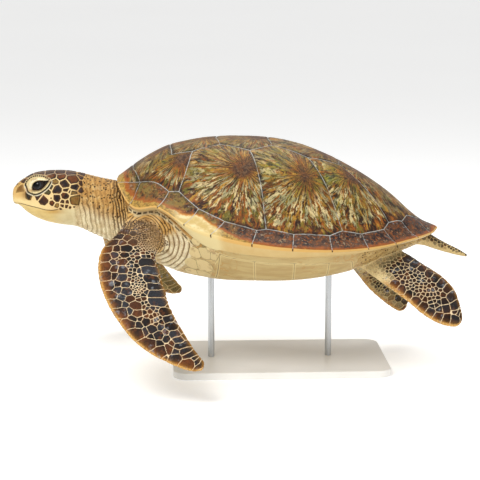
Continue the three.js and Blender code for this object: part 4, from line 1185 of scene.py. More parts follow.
def flipper_row(scales, flipper, rng, face, inset, from_lead, span, steps, radii, lengths,
                colours, relief):
    """A row of scales along a flipper's edge, inset by so many mm and so long across it."""
    t, end = span
    along = STRIDE / np.linalg.norm(np.diff(flipper.surface(
        np.array([2.0, 2.0 + STRIDE]), np.array([0.5, 0.5]), face), axis=0))
    while t < end:
        share_done = (t - span[0]) / (end - span[0])
        step, radius, length = [first + (last - first) * share_done
                                for first, last in (steps, radii, lengths)]
        chord = np.linalg.norm(flipper.section(t)[1])
        colour = colours[rng.integers(len(colours))] * rng.uniform(0.8, 1.2)
        radius *= rng.uniform(0.85, 1.15)
        length *= rng.uniform(0.6, 1.15)
        place = inset + rng.uniform(-0.1, 0.1) * inset
        tilt = rng.uniform(-0.35, 0.35) * along
        group = len(scales.seeds)
        for off in np.linspace(-length / 2, length / 2, 1 + math.ceil(length / SEED_SPACING)):
            share = np.clip(min(place / chord, 0.5) + off / chord, 0.03, 0.8)
            share = share if from_lead else 1 - share
            there = np.array([t + tilt * off])
            point = flipper.surface(there, np.array([share]), face)
            height = flipper.coordinates(point, there)[3]
            scales.add(lifted(point, height)[0], radius, colour, relief, group=group)
        pair = flipper.surface(np.array([t, t + STRIDE]), np.array([share, share]), face)
        length = np.linalg.norm(pair[1] - pair[0])
        t += step * rng.uniform(0.9, 1.1) * STRIDE / max(length, 0.3)


def flipper_candidates(flipper, face, rng):
    """Places over a face for scales, how far along it they are and from its leading edge."""
    t = np.arange(0.3, flipper.last - 0.1, 0.05)
    share = np.linspace(0.02, 0.98, 50)
    t, share = [axis.ravel() for axis in np.meshgrid(t, share, indexing="ij")]
    t = np.clip(t + rng.uniform(-0.02, 0.02, len(t)), 0, flipper.last)
    points = flipper.surface(t, share, face)
    _, lead, _, height = flipper.coordinates(points, t)
    return lifted(points, height), t, lead


SHOULDER = (-376, 224, 22)


def varied_colours(shades, count, rng):
    colours = np.array(shades)[rng.integers(len(shades), size=count)]
    return colours * rng.uniform(0.8, 1.25, (count, 1))


# Edge rows of the front flippers: face, mm from the edge and whether the leading one, from and
# to along the flipper, steps, radii, lengths across the edge, set of colours and relief.
FRONT_ROWS = [
    (1, 15, True, (2.0, 10.9), (24, 42), (12, 18), (14, 14), "edge", 1.2),
    (1, 64, True, (2.6, 8.2), (23, 23), (11.5, 10.5), (10, 4), "dark", 1.3),
    (1, 42, True, (2.1, 8.9), (21, 23), (10, 10.5), (3, 0), "dark", 1.2),
    (1, 25, False, (3.7, 6.0), (27, 25), (15, 13), (26, 20), "lobe", 2.2),
    (1, 21, False, (6.5, 8.5), (25, 22), (12.5, 11), (8, 6), "lobe", 1.5),
    (1, 20, False, (8.8, 11.3), (19, 14), (10, 7.5), (22, 16), "lobe", 1.4),
    (-1, 22, True, (3.6, 10.2), (30, 36), (14, 15), (10, 8), "under", 0.9),
    (-1, 20, False, (4.5, 11), (25, 18), (13, 10), (16, 12), "under", 1.0)]
# Blends toward BLUE_GREY stand partly for the scales' own slate tone and partly for painted sheen.
FRONT_COLOURS = {
    "edge": [CHOCOLATE, blend(SLATE, CHOCOLATE, 0.5), blend(CHOCOLATE, RUST, 0.3)],
    "dark": [SLATE, DARK, blend(CHOCOLATE, RUST, 0.2), blend(SLATE, BLUE_GREY, 0.3), DARK],
    "lobe": [SLATE, blend(SLATE, BLUE_GREY, 0.4), DARK, SLATE],
    "under": [blend(OLIVE, CREAM, 0.12), OLIVE, blend(SLATE, OLIVE, 0.4)]}


def front_flipper_scales(flipper, rng):
    scales = Scales(1.7)
    for *row, colours, relief in FRONT_ROWS:
        flipper_row(scales, flipper, rng, *row, FRONT_COLOURS[colours], relief)
    for face in (1, -1):
        place, t, lead = flipper_candidates(flipper, face, rng)
        off = np.linalg.norm(place[:, :3] - mirrored(SHOULDER, flipper.side), axis=1)
        varied = noise(place[:, :3], 16, 11)
        middle = 4.8 + 2.8 * varied + 3.0 * smooth(t, 6.2, 8.4)
        middle += 3.5 * smooth(-lead, -54, -40) * smooth(-t, -4.5, -3)
        radius = np.clip(middle, 2.3, 2.8 + 6 * smooth(off, 56, 108))
        radius = np.where(face > 0, radius, np.maximum(radius, 5.5) + 2)
        keep = (t > 0.8) & (off > 8)
        shades = FRONT_COLOURS["dark"] if face > 0 else (FRONT_COLOURS["under"] * 2)[:5]
        colours = varied_colours(shades, len(t), rng)
        if face < 0:
            colours = blend(colours, CREAM, 0.45 * smooth(-t, -7.5, -3))
        scales.fill(place[keep], radius[keep], colours[keep], 0.9, rng)
    return scales


def rear_flipper_scales(flipper, rng):
    scales = Scales(1.9)
    last = flipper.last
    outer = [SLATE, DARK, CHOCOLATE, blend(SLATE, CHOCOLATE, 0.5)]
    sole = [blend(OLIVE, DARK, 0.7), DARK, blend(OLIVE, CREAM, 0.15)]
    for row in (
            (1, 13, True, (3.0, last - 0.2), (24, 32), (11, 14), (8, 12),
             [CHOCOLATE, DARK, SLATE], 1.1),
            (1, 17, False, (2.4, last - 2.2), (25, 22), (12, 11), (10, 10), outer, 1.2),
            (1, 20, False, (last - 2.1, last - 0.3), (11, 9), (5.5, 4.5), (22, 18), outer, 0.9)):
        flipper_row(scales, flipper, rng, *row)
    for face, shades in ((1, outer), (-1, sole)):
        place, t, lead = flipper_candidates(flipper, face, rng)
        small = 5.3 + 1.2 * noise(place[:, :3], 30, 12)
        radius = small + 5.5 * smooth(t / last, 0.55, 0.75)
        radius = np.minimum(radius, 3.4 + 9 * smooth(t, 0.8, 3.4))
        colours = varied_colours(shades, len(t), rng)
        if face > 0:
            pale = smooth(-t, -2.3, -1.1) + smooth(-lead, -32, -15) * smooth(-t, -4.0, -2.8)
        else:
            pale = smooth(-t / last, -0.42, -0.24) + 0.7 * smooth(-lead, -20, -8)
        colours = blend(colours, CREAM, np.clip(pale, 0, 0.94))
        keep = t > 0.6
        scales.fill(place[keep], radius[keep], colours[keep], 0.8, rng)
    return scales


TAIL_TRIES = 6000


def tail_scales(rng):
    scales = Scales(1.6)
    t = rng.uniform(1.2, 5.95, TAIL_TRIES)
    angle = rng.uniform(0, 360, TAIL_TRIES)
    top = smooth(np.sin(np.radians(angle)), -0.25, 0.25)
    dark = np.array([DARK, CHOCOLATE, SLATE])[rng.integers(3, size=TAIL_TRIES)]
    colours = blend(blend(TAN, CREAM, 0.6), dark, top * 0.92)
    scales.fill(lifted(tail_point(t, angle), t * 0), 6.2 - 0.55 * t, colours, 0.6, rng)
    return scales


HEAD_GROWTH = 1.08
HEAD_SCALE_GAP = 0.8
NO_SCALE = np.full(3, -1.0)
# Head scales of the left side as (x, angle on the section, radius, colour), mirrored right.
HEAD_SCALES = [
    (-651, -3, 13, "dark"), (-665, 3, 11, "dark"), (-690, 4, 10.5, "smudge"),
    (-716, 27, 12.5, "nose"), (-719, 46, 8, "nose"),
    (-639, 14, 7.2, "olive"),
    (-629, 25, 7.2, "olive"), (-620, 38, 8, "tan"), (-613, 20, 11.5, "dark"),
    (-591, 35, 13, "dark"), (-589, 21, 6.5, "dark"), (-578, 17, 4, "dark"),
    (-565, 31, 11, "dark"), (-628, 57, 12, "warm"), (-602, 55, 12, "warm"),
    (-571, 50, 17, "warm"), (-549, 43, 6.5, "dark"), (-540, 46, 3, "dark"),
    (-548, 26, 6.5, "dark"), (-569, 16, 8, "tan"), (-565, 3, 14, "tan"),
    (-592, 8, 9.5, "dark"), (-614, 3, 9.8, "dark"), (-598, -1, 6, "dark"),
    (-587, -1, 5.4, "dark"), (-600, -8, 5.4, "dark"), (-588, -8, 5, "dark"),
    (-627, -5, 6.2, "rust"), (-614, -9, 6, "tan"), (-630, 2, 2.4, "dark"),
    (-604, -14, 3.7, "dark"), (-579, -10, 3.7, "dark"), (-567, -7, 3.2, "dark"),
    (-537, 19, 2.2, "dark"), (-706, 66, 9.5, "dark"), (-724, 70, 4, "dark"),
    (-701, 30, 3.2, "dark"),
    (-692, 88, 12, "grey"), (-662, 71, 13, "grey"), (-634, 72, 12, "grey"),
    (-606, 74, 13, "grey"), (-577, 72, 12, "grey"), (-551, 62, 8, "grey"),
    (-545, 80, 9, "grey")]
# Plates between the shoulder's folds and the lower shell, as (x, distance from midline, radius).
AXILLARY_PLATES = [
    (-244, 291, 10), (-226, 306, 10), (-243, 266, 13), (-216, 284, 15), (-204, 304, 10),
    (-250, 234, 15), (-220, 248, 18), (-246, 198, 16), (-220, 206, 18), (-192, 292, 12)]
# Plain places of the head, which keep the scales apart from the bare skin round them.
HEAD_BLANKS = [
    (-715, 0, 9), (-672, -16, 8), (-655, -22, 9), (-640, -18, 8),
    (-645, -8, 4), (-618, -22, 8), (-592, -24, 8), (-555, -14, 8), (-540, 5, 9),
    (-532, 35, 9), (-530, 60, 9), (-528, 80, 9), (-726, 45, 6), (-674, 0, 5), (-643, 2, 4)]
CROWN_SCALES = [(-664, 90, 14), (-634, 90, 11), (-605, 90, 10), (-577, 90, 10), (-712, 90, 8)]


# Inner and rim colours of the head's scales.
HEAD_SHADES = {
    "dark": ("211b19", "4c3521"), "olive": ("4e4a2c", "39301c"), "tan": ("866733", "4e3b1f"),
    "warm": ("64391c", "2c211d"), "grey": ("4c3a32", "32282a"), "rust": ("66371a", "3a2210"),
    "smudge": ("2c2820", "7c5f30"), "nose": ("8a6532", "a8844a")}


def head_scales(rng):
    scales = Scales(1.5)
    rows = HEAD_SCALES + [(*row, "grey") for row in CROWN_SCALES]
    for x, angle, radius, shade in rows + [(*row, None) for row in HEAD_BLANKS]:
        for side in (LEFT, RIGHT) if angle != 90 else (RIGHT,):
            turned = angle if side == RIGHT else 180 - angle
            point = head_point(np.array([float(x)]), np.array([float(turned)]))
            place = lifted(point, np.zeros(1))[0]
            if shade:
                bright = rng.uniform(0.8, 1.2)
                inner, rim = [paint(code) * bright for code in HEAD_SHADES[shade]]
                scales.add(place, radius * HEAD_GROWTH, inner, 0.8, rim)
            else:
                scales.add(place, radius, NO_SCALE, 0)
    return scales


# ------------------------------------------------------------------ skin

def eye_axes(side):
    """Outward axis of the lids' outlines, and the rearward and the upward one."""
    out = mirrored(LID_VIEW, side)
    out /= np.linalg.norm(out)
    along = np.array([1.0, 0, 0])
    along -= out * along @ out
    along /= np.linalg.norm(along)
    return out, along, -side * np.cross(out, along)


def closed_curve(points, count=480):
    """Points along a smooth closed curve through these ones."""
    ring = points[-3:] + points + points[:3]
    t = 3 + len(points) * np.arange(count) / count
    return np.stack([track(t) for track in tracks(ring)], -1)


def loop_gap(plan, loop):
    """Distance to the nearest point of a loop, and that point."""
    gap = np.hypot(plan[:, :1] - loop[:, 0], plan[:, 1:] - loop[:, 1])
    closest = gap.argmin(1)
    return gap.min(1), loop[closest]


def bead_places(orbit):
    """Evenly spaced points along the orbit's upper part and its front."""
    steps = np.hypot(*np.diff(orbit, axis=0, append=orbit[:1]).T)
    marks = np.searchsorted(np.cumsum(steps), np.arange(0, steps.sum(), BEAD_STEP))
    beads = orbit[marks[marks < len(orbit)]]
    return beads[(beads[:, 1] > 14) | ((beads[:, 0] < 0) & (beads[:, 1] > -2))]


def shape_lids(points, paints, side):
    """Opens the lids over the eye, and models their rims, creases, beads and colours."""
    centre = mirrored(EYE_CENTRE, side)
    out, along, across = eye_axes(side)
    off = points - centre
    near = np.nonzero((off @ out > -16) & (np.linalg.norm(off, axis=1) < 50))[0]
    plan = np.stack([off[near] @ along, off[near] @ across], 1)
    edge, orbit = closed_curve(LID_EDGE), closed_curve(ORBIT)
    gap, closest = loop_gap(plan, edge)
    ring_gap, _ = loop_gap(plan, orbit)
    within, in_orbit = inside(plan, edge), inside(plan, orbit)
    signed = np.where(within, -gap, gap)
    past = np.where(in_orbit, -ring_gap, ring_gap)
    share = np.where(in_orbit & ~within, gap / np.maximum(gap + ring_gap, 1e-3), 0)
    lower = smooth(0.45 * plan[:, 0] - 2 - plan[:, 1], -3, 3)
    ringed = np.maximum(lower, smooth(-plan[:, 0], 18, 26) * smooth(-plan[:, 1], -5, 0))
    ringed = ringed * smooth(-plan[:, 1], -18, -13)
    upper = 1 - lower

    height = off[near] @ out
    height = height + 1.7 * np.sin(math.pi * share) ** 0.6 - 0.8 * hump(share, 0.42, 0.07) * lower
    height = height - 1.2 * hump(past, -1, 1.6) * ringed + 0.5 * hump(past, 3, 1.5) * ringed
    height = height + 0.8 * hump(signed, 1.6, 1.2)
    ball = np.sqrt(np.maximum((EYE_RADIUS - 1.8) ** 2 - (plan ** 2).sum(1), 0))
    on_edge = gap < 0.8
    height = np.where(within & ~on_edge, np.maximum(ball, height - 4), height)
    plan = np.where(on_edge[:, None], closest, plan)
    points[near] = centre + plan @ np.stack([along, across]) + np.outer(height, out)

    bead_gap = loop_gap(plan, bead_places(orbit))[0]
    orbit_soft = smooth(-past, -0.6, 0.6)
    # Among the coats: a painted highlight along the upper lid, and painted shade in the upper lid's
    # rear crease.
    coats = [("d6c28f", orbit_soft), ("f2e8c6", 0.85 * hump(share, 0.32, 0.16) * upper),
             ("bf9f68", 0.6 * orbit_soft * smooth(share, 0.7, 1.0) * upper),
             ("8a734c", 0.85 * smooth(-share, -0.5, -0.2) * lower * in_orbit),
             ("dfcb98", 0.8 * hump(share, 0.62, 0.16) * lower),
             ("a8804a", 0.7 * hump(plan[:, 0], -23, 7) * hump(plan[:, 1], -13, 6)),
             ("6b4e30", 0.6 * smooth(-share, -0.24, -0.08) * smooth(plan[:, 0], 4, 12) * upper
              * in_orbit),
             ("201d12", 0.95 * smooth(-np.abs(past + 0.9), -2.8, -1.8) * ringed),
             ("e6dab8", 0.9 * smooth(-np.abs(past - 2.7), -1.6, -0.7) * ringed),
             ("241810", 0.95 * hump(signed, 0.2, 1.2)),
             ("d3bd8c", 0.9 * smooth(-np.abs(past - 1), -3.4, -2.4) * (1 - ringed)),
             ("20160f", smooth(-bead_gap, -BEAD_RADIUS - 0.4, -BEAD_RADIUS + 0.4)),
             ("1d1814", within * 1.0)]
    for field in (paints["ground"], paints["plate"]):
        field[near] = coated(field[near], coats)
    reach = 2.8 + 0.8 * ringed
    covered = smooth(-past, -reach, 1 - reach)
    paints["edge"][near] = paints["edge"][near] * (1 - covered) + 9 * covered


def shape_mouth(points, normals, paints, chosen):
    """The line of the mouth, the lips beside it and the nostrils."""
    x, _, z = points[chosen].T
    near = chosen[(x < -598) & (z < 110)]
    x, _, z = points[near].T
    rise = z - mouth_height(x)
    fade = smooth(-x, 604, 616)
    line = hump(rise, 0, 1.25) * fade
    lip = (smooth(rise, -1, 1) - 0.5) * np.exp(-np.abs(rise) / 9) * fade
    points[near] += normals[near] * (1.1 * lip - 1.8 * line)[:, None]
    # Painted shade darkens the mouth's line.
    paints["fold"][near] = np.maximum(paints["fold"][near], line)
    for side in (LEFT, RIGHT):
        gap = np.linalg.norm(points[chosen] - mirrored(NOSTRIL, side), axis=1)
        pit = hump(gap, 0, 3.2)
        points[chosen] -= normals[chosen] * (3.4 * pit)[:, None]
        # Painted shade darkens the nostril pits.
        paints["fold"][chosen] = np.maximum(paints["fold"][chosen], smooth(pit, 0.3, 0.8))


# Distances from fold to fold, and the centres of the shoulder's arcs and of its bulge.
NECK_FOLD, NECK_WRINKLE, SHELL_WRINKLE = 12.8, 6.1, 8.2
SHOULDER_FOLD, BULGE_WRINKLE, GROIN_FOLD = 12.6, 7.6, 8
SHOULDER_FOLDS, SHOULDER_BULGE = (-356, 4), (-374, 29)


def ridges(phase):
    """Rounded ridges with sharp grooves between, 1 on the ridge and 0 in the groove."""
    return np.abs(np.sin(math.pi * phase)) ** 0.7


def fold_skin(points, normals, paints, region, soft):
    """Wrinkles of the neck and throat, and the folds behind the shoulders and at the groin.

    soft is 1 on the trunk and the limbs' roots.
    """
    x, y, z = points.T
    wide = 3.0 * noise(points, 38, 21) + 1.2 * noise(points, 15, 23)

    def press(crest, depth, amount):
        points[:] += normals * ((crest - 0.6) * depth * amount)[:, None]

    rise = neck_rise(x, z)
    neck = (region == HEAD) * smooth(x, -590, -530)
    low = 0.55 + 0.45 * smooth(-rise, -0.8, -0.35)
    lean = x + 0.1 * (z - 60) + wide + 1.6 * noise(points, 9, 22) + 2.0 * noise(points, 24, 24)
    deep = smooth(x, -480, -440)
    broad = 0.65 * ridges(lean / NECK_FOLD) + 0.35 * ridges(lean / NECK_WRINKLE + 0.3)
    crest = broad + (ridges(lean / SHELL_WRINKLE) - broad) * deep
    amount = neck * np.maximum(low, smooth(x, -500, -450))
    press(crest, 2.9, amount)
    # Painted shade darkens the grooves between the neck's crests.
    groove = (1 - crest) ** (0.8 - 0.3 * deep) * amount * (0.66 + 0.34 * smooth(rise, 0.2, 0.6))
    # Painted highlights lighten the crests: pale low on the neck, golden high on it.
    light = crest ** 2 * amount * smooth(-rise, -0.65, -0.35)
    warm = crest ** 2 * amount * smooth(rise, 0.3, 0.6)

    off_x, off_z = x - SHOULDER_FOLDS[0], z - SHOULDER_FOLDS[1]
    radius = np.hypot(off_x, off_z)
    angle = np.degrees(np.arctan2(off_z, off_x))
    clear_of_rim = smooth(lower_rim(x) - z, 12.5, 17)
    arcs = smooth(radius, 26, 36) * smooth(-radius, -116, -100) * soft
    arcs = arcs * smooth(angle, -82, -58) * smooth(-angle, -44, -14) * clear_of_rim
    crest = ridges((radius + 0.8 * wide) / SHOULDER_FOLD + 0.35) ** 0.6
    press(crest, 3.6, arcs)
    # The arcs get painted shade in their grooves and painted highlight on their crests.
    groove = np.maximum(groove, (1 - crest) ** 1.2 * arcs)
    light = np.maximum(light, 1.3 * crest ** 2 * arcs)

    # Fine wrinkles wrap the top of the shoulder, and deep ones stand beside the neck.
    radius = np.hypot(x - SHOULDER_BULGE[0], z - SHOULDER_BULGE[1])
    wrap = smooth(radius, 34, 42) * smooth(-radius, -160, -130) * soft * smooth(-x, 236, 276)
    wrap = wrap * (1 - np.clip(1.4 * arcs, 0, 1)) * smooth(z, -40, -10) * clear_of_rim
    crest = ridges((radius + 1.4 * wide) / BULGE_WRINKLE)
    press(crest, 2.2, wrap)
    # The wrap's grooves get painted shade, and its crests a golden painted highlight.
    groove = np.maximum(groove, (1 - crest) ** 1.1 * wrap)
    golden_highlight = np.maximum(crest ** 2 * wrap, warm)

    groin = (region == TRUNK) * smooth(x, 130, 190)
    crest = ridges((x * 0.8 - z * 0.6 + 2 * wide) / GROIN_FOLD)
    press(crest, 0.8, groin)
    groove = np.maximum(groove, (1 - crest) ** 2 * groin * 0.5)
    # The grooves' painted shade goes into its own field, and the crests' painted highlights into
    # the ground's colour.
    paints["fold"] = np.maximum(paints["fold"], np.clip(groove, 0, 1))
    paints["ground"] = coated(paints["ground"], [
        ("efe4c0", np.clip(0.85 * light, 0, 0.95)), ("e2b468", 0.7 * golden_highlight)])

# The pale band with dark dashes under the shell's rim: how far below it, and the dashes' step.
DASH_BELOW, DASH_STEP = 9, 22


def paint_ground(points, region):
    """Colour of the bare skin, before its scales."""
    x, y, z = points.T
    rise, lip = neck_rise(x, z), z - mouth_height(x)
    on_head, on_trunk, off_head = region == HEAD, region == TRUNK, region != HEAD
    off_band = -np.abs(lower_rim(x) - z - DASH_BELOW)
    band = off_head * smooth(x, -436, -424) * smooth(-x, 236, 250) * smooth(np.abs(y), 110, 130)
    dash = smooth(np.abs((0.7 * (x + np.abs(y)) / DASH_STEP) % 1 - 0.5), 0.12, 0.18)
    skull = on_head * smooth(-x, 545, 570)
    jaw = skull * smooth(-lip, -1, 2)
    beak = skull * smooth(-x, 690, 708)
    return coated(np.tile(paint("b88e50"), (len(points), 1)), [
        ("cbb27c", smooth(-z, 0, 40) * off_head),
        ("c0a268", smooth(x, 120, 200) * on_trunk),
        ("a8793a", smooth(z, 30, 90) * on_trunk),
        ("bf9354", on_head * smooth(rise, 0.3, 0.6)),
        ("e0cc9b", on_head * smooth(-rise, -0.58, -0.25)),
        ("e6d6a8", 0.8 * band * smooth(off_band, -8, -5)),
        ("33221a", band * dash * smooth(off_band, -3.2, -2)),
        ("dcc088", skull),
        ("9c8468", skull * smooth(rise, 0.86, 0.97)),
        ("cdb374", jaw * smooth(-x, 590, 625)),
        ("c9b98c", jaw * smooth(x, -640, -590)),
        ("b98f48", 0.8 * jaw * hump(x, -625, 26) * smooth(z, 56, 66)),
        ("8c6c42", 0.6 * skull * smooth(-x, 719, 727) * smooth(z, 96, 110)),
        ("cfa968", beak * smooth(lip, -2, 6)),
        ("7d5a30", 0.8 * skull * hump(x, -698, 13) * hump(z, 110, 15)),
        ("dec68c", skull * smooth(-x, 630, 670) * hump(lip, 8, 9))])


def axillary_scales(rng):
    scales = Scales(1.5)
    for x, y, radius in AXILLARY_PLATES:
        for side in (LEFT, RIGHT):
            point = np.array([[x, y * side, float(belly_height(x, y))]])
            colour = paint("cdb784") * rng.uniform(0.92, 1.08)
            scales.add(lifted(point, np.zeros(1))[0], radius, colour, 0.5)
    return scales


SCALE_SEED = 7
# Where the head's scales end, and the (middle, half length) of the plates behind the shoulder.
HEAD_SCALES_END, AXILLARY_SPAN = -515, (-222, 56)


def lay_scales(points, region, along, paints):
    """Presses every region's scales into the paints, and returns how far they rise."""
    relief = np.zeros(len(points))
    rng = np.random.default_rng(SCALE_SEED)
    jobs = [(HEAD, head_scales(rng), None), (TAIL_REGION, tail_scales(rng), None),
            (TRUNK, axillary_scales(rng), None)]
    for i, (make, flipper) in enumerate(zip(
            [front_flipper_scales] * 2 + [rear_flipper_scales] * 2, FLIPPERS)):
        jobs.append((FIRST_FLIPPER + i, make(flipper, rng), flipper))
    for code, scales, flipper in jobs:
        here = np.nonzero(region == code)[0]
        if code == HEAD:
            here = here[points[here, 0] < HEAD_SCALES_END]
        if code == TRUNK:
            here = here[np.abs(points[here, 0] - AXILLARY_SPAN[0]) < AXILLARY_SPAN[1]]
        place = points[here]
        height = np.zeros(len(place))
        if flipper:
            t, lead, trail, height = flipper.coordinates(place, along[here])
        number, edge = scales.measure(lifted(place, height))
        inner, rim, rise = [scales.column(i)[number] for i in (INNER, RIM_COLOUR, RELIEF)]
        colour = blend(rim, inner, smooth(edge + 2.2 * noise(place, 6, 33), 2.4, 6.5))
        if code == HEAD:
            mottled = noise(place, 15, 35) + 0.5 * noise(place, 6, 36)
            colour = coated(colour, [("7c4a24", 0.28 * smooth(mottled, 0.1, 1.1)),
                                     (SLATE, 0.55 * smooth(-mottled, 0.1, 1.1))])
        colour = np.where(inner < 0, inner, colour)
        edge = np.where(inner[:, 0] < 0, -1.0, edge - (HEAD_SCALE_GAP if code == HEAD else 0.0))
        if flipper:
            paint_flipper(paints, here, flipper, t, lead, trail, height, colour, edge, place)
        else:
            paints["plate"][here] = colour
        if code == TRUNK:
            line = smooth(edge, -1.8, -0.6)
            paints["ground"][here] = blend(paints["ground"][here], "96875c", line)
        paints["edge"][here] = edge
        relief[here] = rise * smooth(edge, -0.6, 2.2)
    return relief


def paint_flipper(paints, here, flipper, t, lead, trail, height, colour, edge, place):
    """Colours of a flipper's scales and of the seams between them, from edge to edge."""
    front, under = flipper.last > 10, (height <= 0)[:, None]
    mottled = noise(place, 26, 31) + 0.6 * noise(place, 9, 32)
    grown = smooth(t, 2.2, 3.4)
    warm = np.exp(-(np.maximum(lead, 0) / (10 if front else 8)) ** 1.6) * grown
    warm = np.maximum(warm, 0.7 * smooth(t, flipper.last - 1.0, flipper.last))
    inner = np.exp(-np.maximum(lead - 8, 0) / 16) * (1 - warm) * grown * (1 if front else 0.5)
    plate = coated(colour, [
        (blend(RUST, OCHRE, 0.6), np.clip(warm * (1.2 + 0.5 * mottled), 0, 0.95)),
        ("d9a95f", 0.9 * smooth(-lead, -9, -3) * grown),
        ("8a4a20", np.clip(inner * (0.25 + 0.9 * mottled), 0, 0.8)),
        (blend(RUST, OCHRE, 0.4), 0.5 * smooth(-edge, -3.0, -1.0)
         * (smooth(mottled, -0.2, 0.9) + warm)),
        (OCHRE, 0.8 * (np.exp(-np.maximum(trail, 0) / 4) * smooth(t, 3, 4)))])
    seam = blend(np.tile(paint("e2caa2"), (len(here), 1)), "d9a95f", 0.5 * warm)
    seam = np.where(under, paint("bfa874"), seam)
    if front:
        off = np.linalg.norm(place - mirrored(SHOULDER, flipper.side), axis=1)
        shoulder = smooth(-off, -80, -45)
        bulge = smooth(-off - 4 * noise(place, 14, 34), -20, -12)
        root = np.maximum(bulge, smooth(-t, -1.3, -0.8))
        rear = shoulder * smooth(place[:, 0] - SHOULDER[0], -8, 38)
        seam = coated(seam, [("b5976e", shoulder), (paints["ground"][here], root)])
        plate = coated(plate, [("55412f", 0.8 * shoulder), ("a08257", 0.8 * rear)])
        edge -= 12 * root
        plate = np.where(under, blend(plate, "8d7c48", 0.35), plate)
    else:
        plate = blend(plate, CREAM, 0.85 * smooth(-t, -2.2, -1.0))
        seam = blend(seam, "cdb581", smooth(-t, -3.4, -1.6))
    paints["plate"][here] = plate
    paints["ground"][here] = seam


SKIN_NODES = ["torso", "neck", "head", "lower_jaw", "tail", "front_flipper_left",
              "front_flipper_right", "rear_flipper_left", "rear_flipper_right"]
MOUTH_REGION_END = -560
# How the skin is smoothed: pairs of strokes in and out, then rounds on the creases, which reach
# so far from limb and body, along the limb to here; and the crease at the root of the neck.
SMOOTHING_PAIRS, SMOOTH_IN, SMOOTH_OUT = 5, 0.5, -0.52
CREASE_ROUNDS, CREASE_REACH, LIMB_ROOT_END = 36, 17, 3.4
NECK_CREASE = (-430, 20)
SOFT_ROOT_END = 2.3


def skin():
    points, quads = fused_body()
    base, base_region, base_along = samples()
    found, _ = nearest(points, base)
    inner = (base_region[found] == TRUNK) & hidden_by_shells(points)
    points, quads, used = trimmed(points, quads, ~inner)
    region, along = base_region[found[used]], base_along[found[used]]
    surface = Surface(points, quads)
    for _ in range(SMOOTHING_PAIRS):
        surface.relax(SMOOTH_IN)
        surface.relax(SMOOTH_OUT)

    # Soften the creases where the limbs and the neck leave the body.
    on_limb = base_region >= FIRST_FLIPPER
    limb_gap = distances(points, base[on_limb & (base_along < LIMB_ROOT_END)])
    body_gap = distances(points, base[~on_limb])
    crease = hump(np.maximum(limb_gap, body_gap), 0, CREASE_REACH)
    crease = np.maximum(crease, hump(points[:, 0], *NECK_CREASE) * (region <= HEAD) * 0.8)
    for _ in range(CREASE_ROUNDS):
        surface.relax(crease[:, None])

    points = surface.points
    normals = surface.normals()
    paints = {"ground": paint_ground(points, region), "plate": np.tile(TAN, (len(points), 1)),
              "edge": np.full(len(points), -1.0), "fold": np.zeros(len(points))}
    relief = lay_scales(points, region, along, paints)
    trunk, limb = region == TRUNK, region >= FIRST_FLIPPER
    soft = surface.diffuse((trunk | (limb & (along < SOFT_ROOT_END))) * 1.0, 6)
    fold_skin(points, normals, paints, region, soft)
    points += normals * relief[:, None]
    face = (region == HEAD) & (points[:, 0] < MOUTH_REGION_END)
    shape_mouth(points, normals, paints, np.nonzero(face)[0])
    for side in (LEFT, RIGHT):
        shape_lids(points, paints, side)

    obj = mesh_object("turtle_skin", points, quads)
    x, _, z = points.T
    neck = (region == HEAD) * smooth(x, -565, -545)
    off = np.minimum(*(np.linalg.norm(points - mirrored(SHOULDER, side), axis=1)
                       for side in (LEFT, RIGHT)))
    bulge = smooth(-off, -56, -40)
    grain = surface.diffuse(np.where(trunk | (neck > 0), 1.0, bulge), 4)
    on_nape = smooth(neck_rise(x, z), 0.35, 0.75)
    speck = np.maximum.reduce([
        neck * (0.04 + 0.46 * on_nape + 0.1 * smooth(x, -510, -450)),
        trunk * smooth(z, -10, 50) * 0.25, 0.8 * bulge, 0.3 * trunk * smooth(x, 150, 220)])
    # The last field sets how much painted highlight and fine dark mottling the scales get: all on
    # the limbs, none on the trunk, a little elsewhere.
    set_fields(obj, ground=opaque(surface.diffuse(paints["ground"], 1)),
               plate=opaque(paints["plate"]), edge=paints["edge"], fold=paints["fold"],
               grain=grain, speck=surface.diffuse(speck, 4),
               wet=np.where(limb, 1.0, np.where(trunk, 0.0, 0.15)))
    dress(obj, skin_material(), SKIN_NODES)


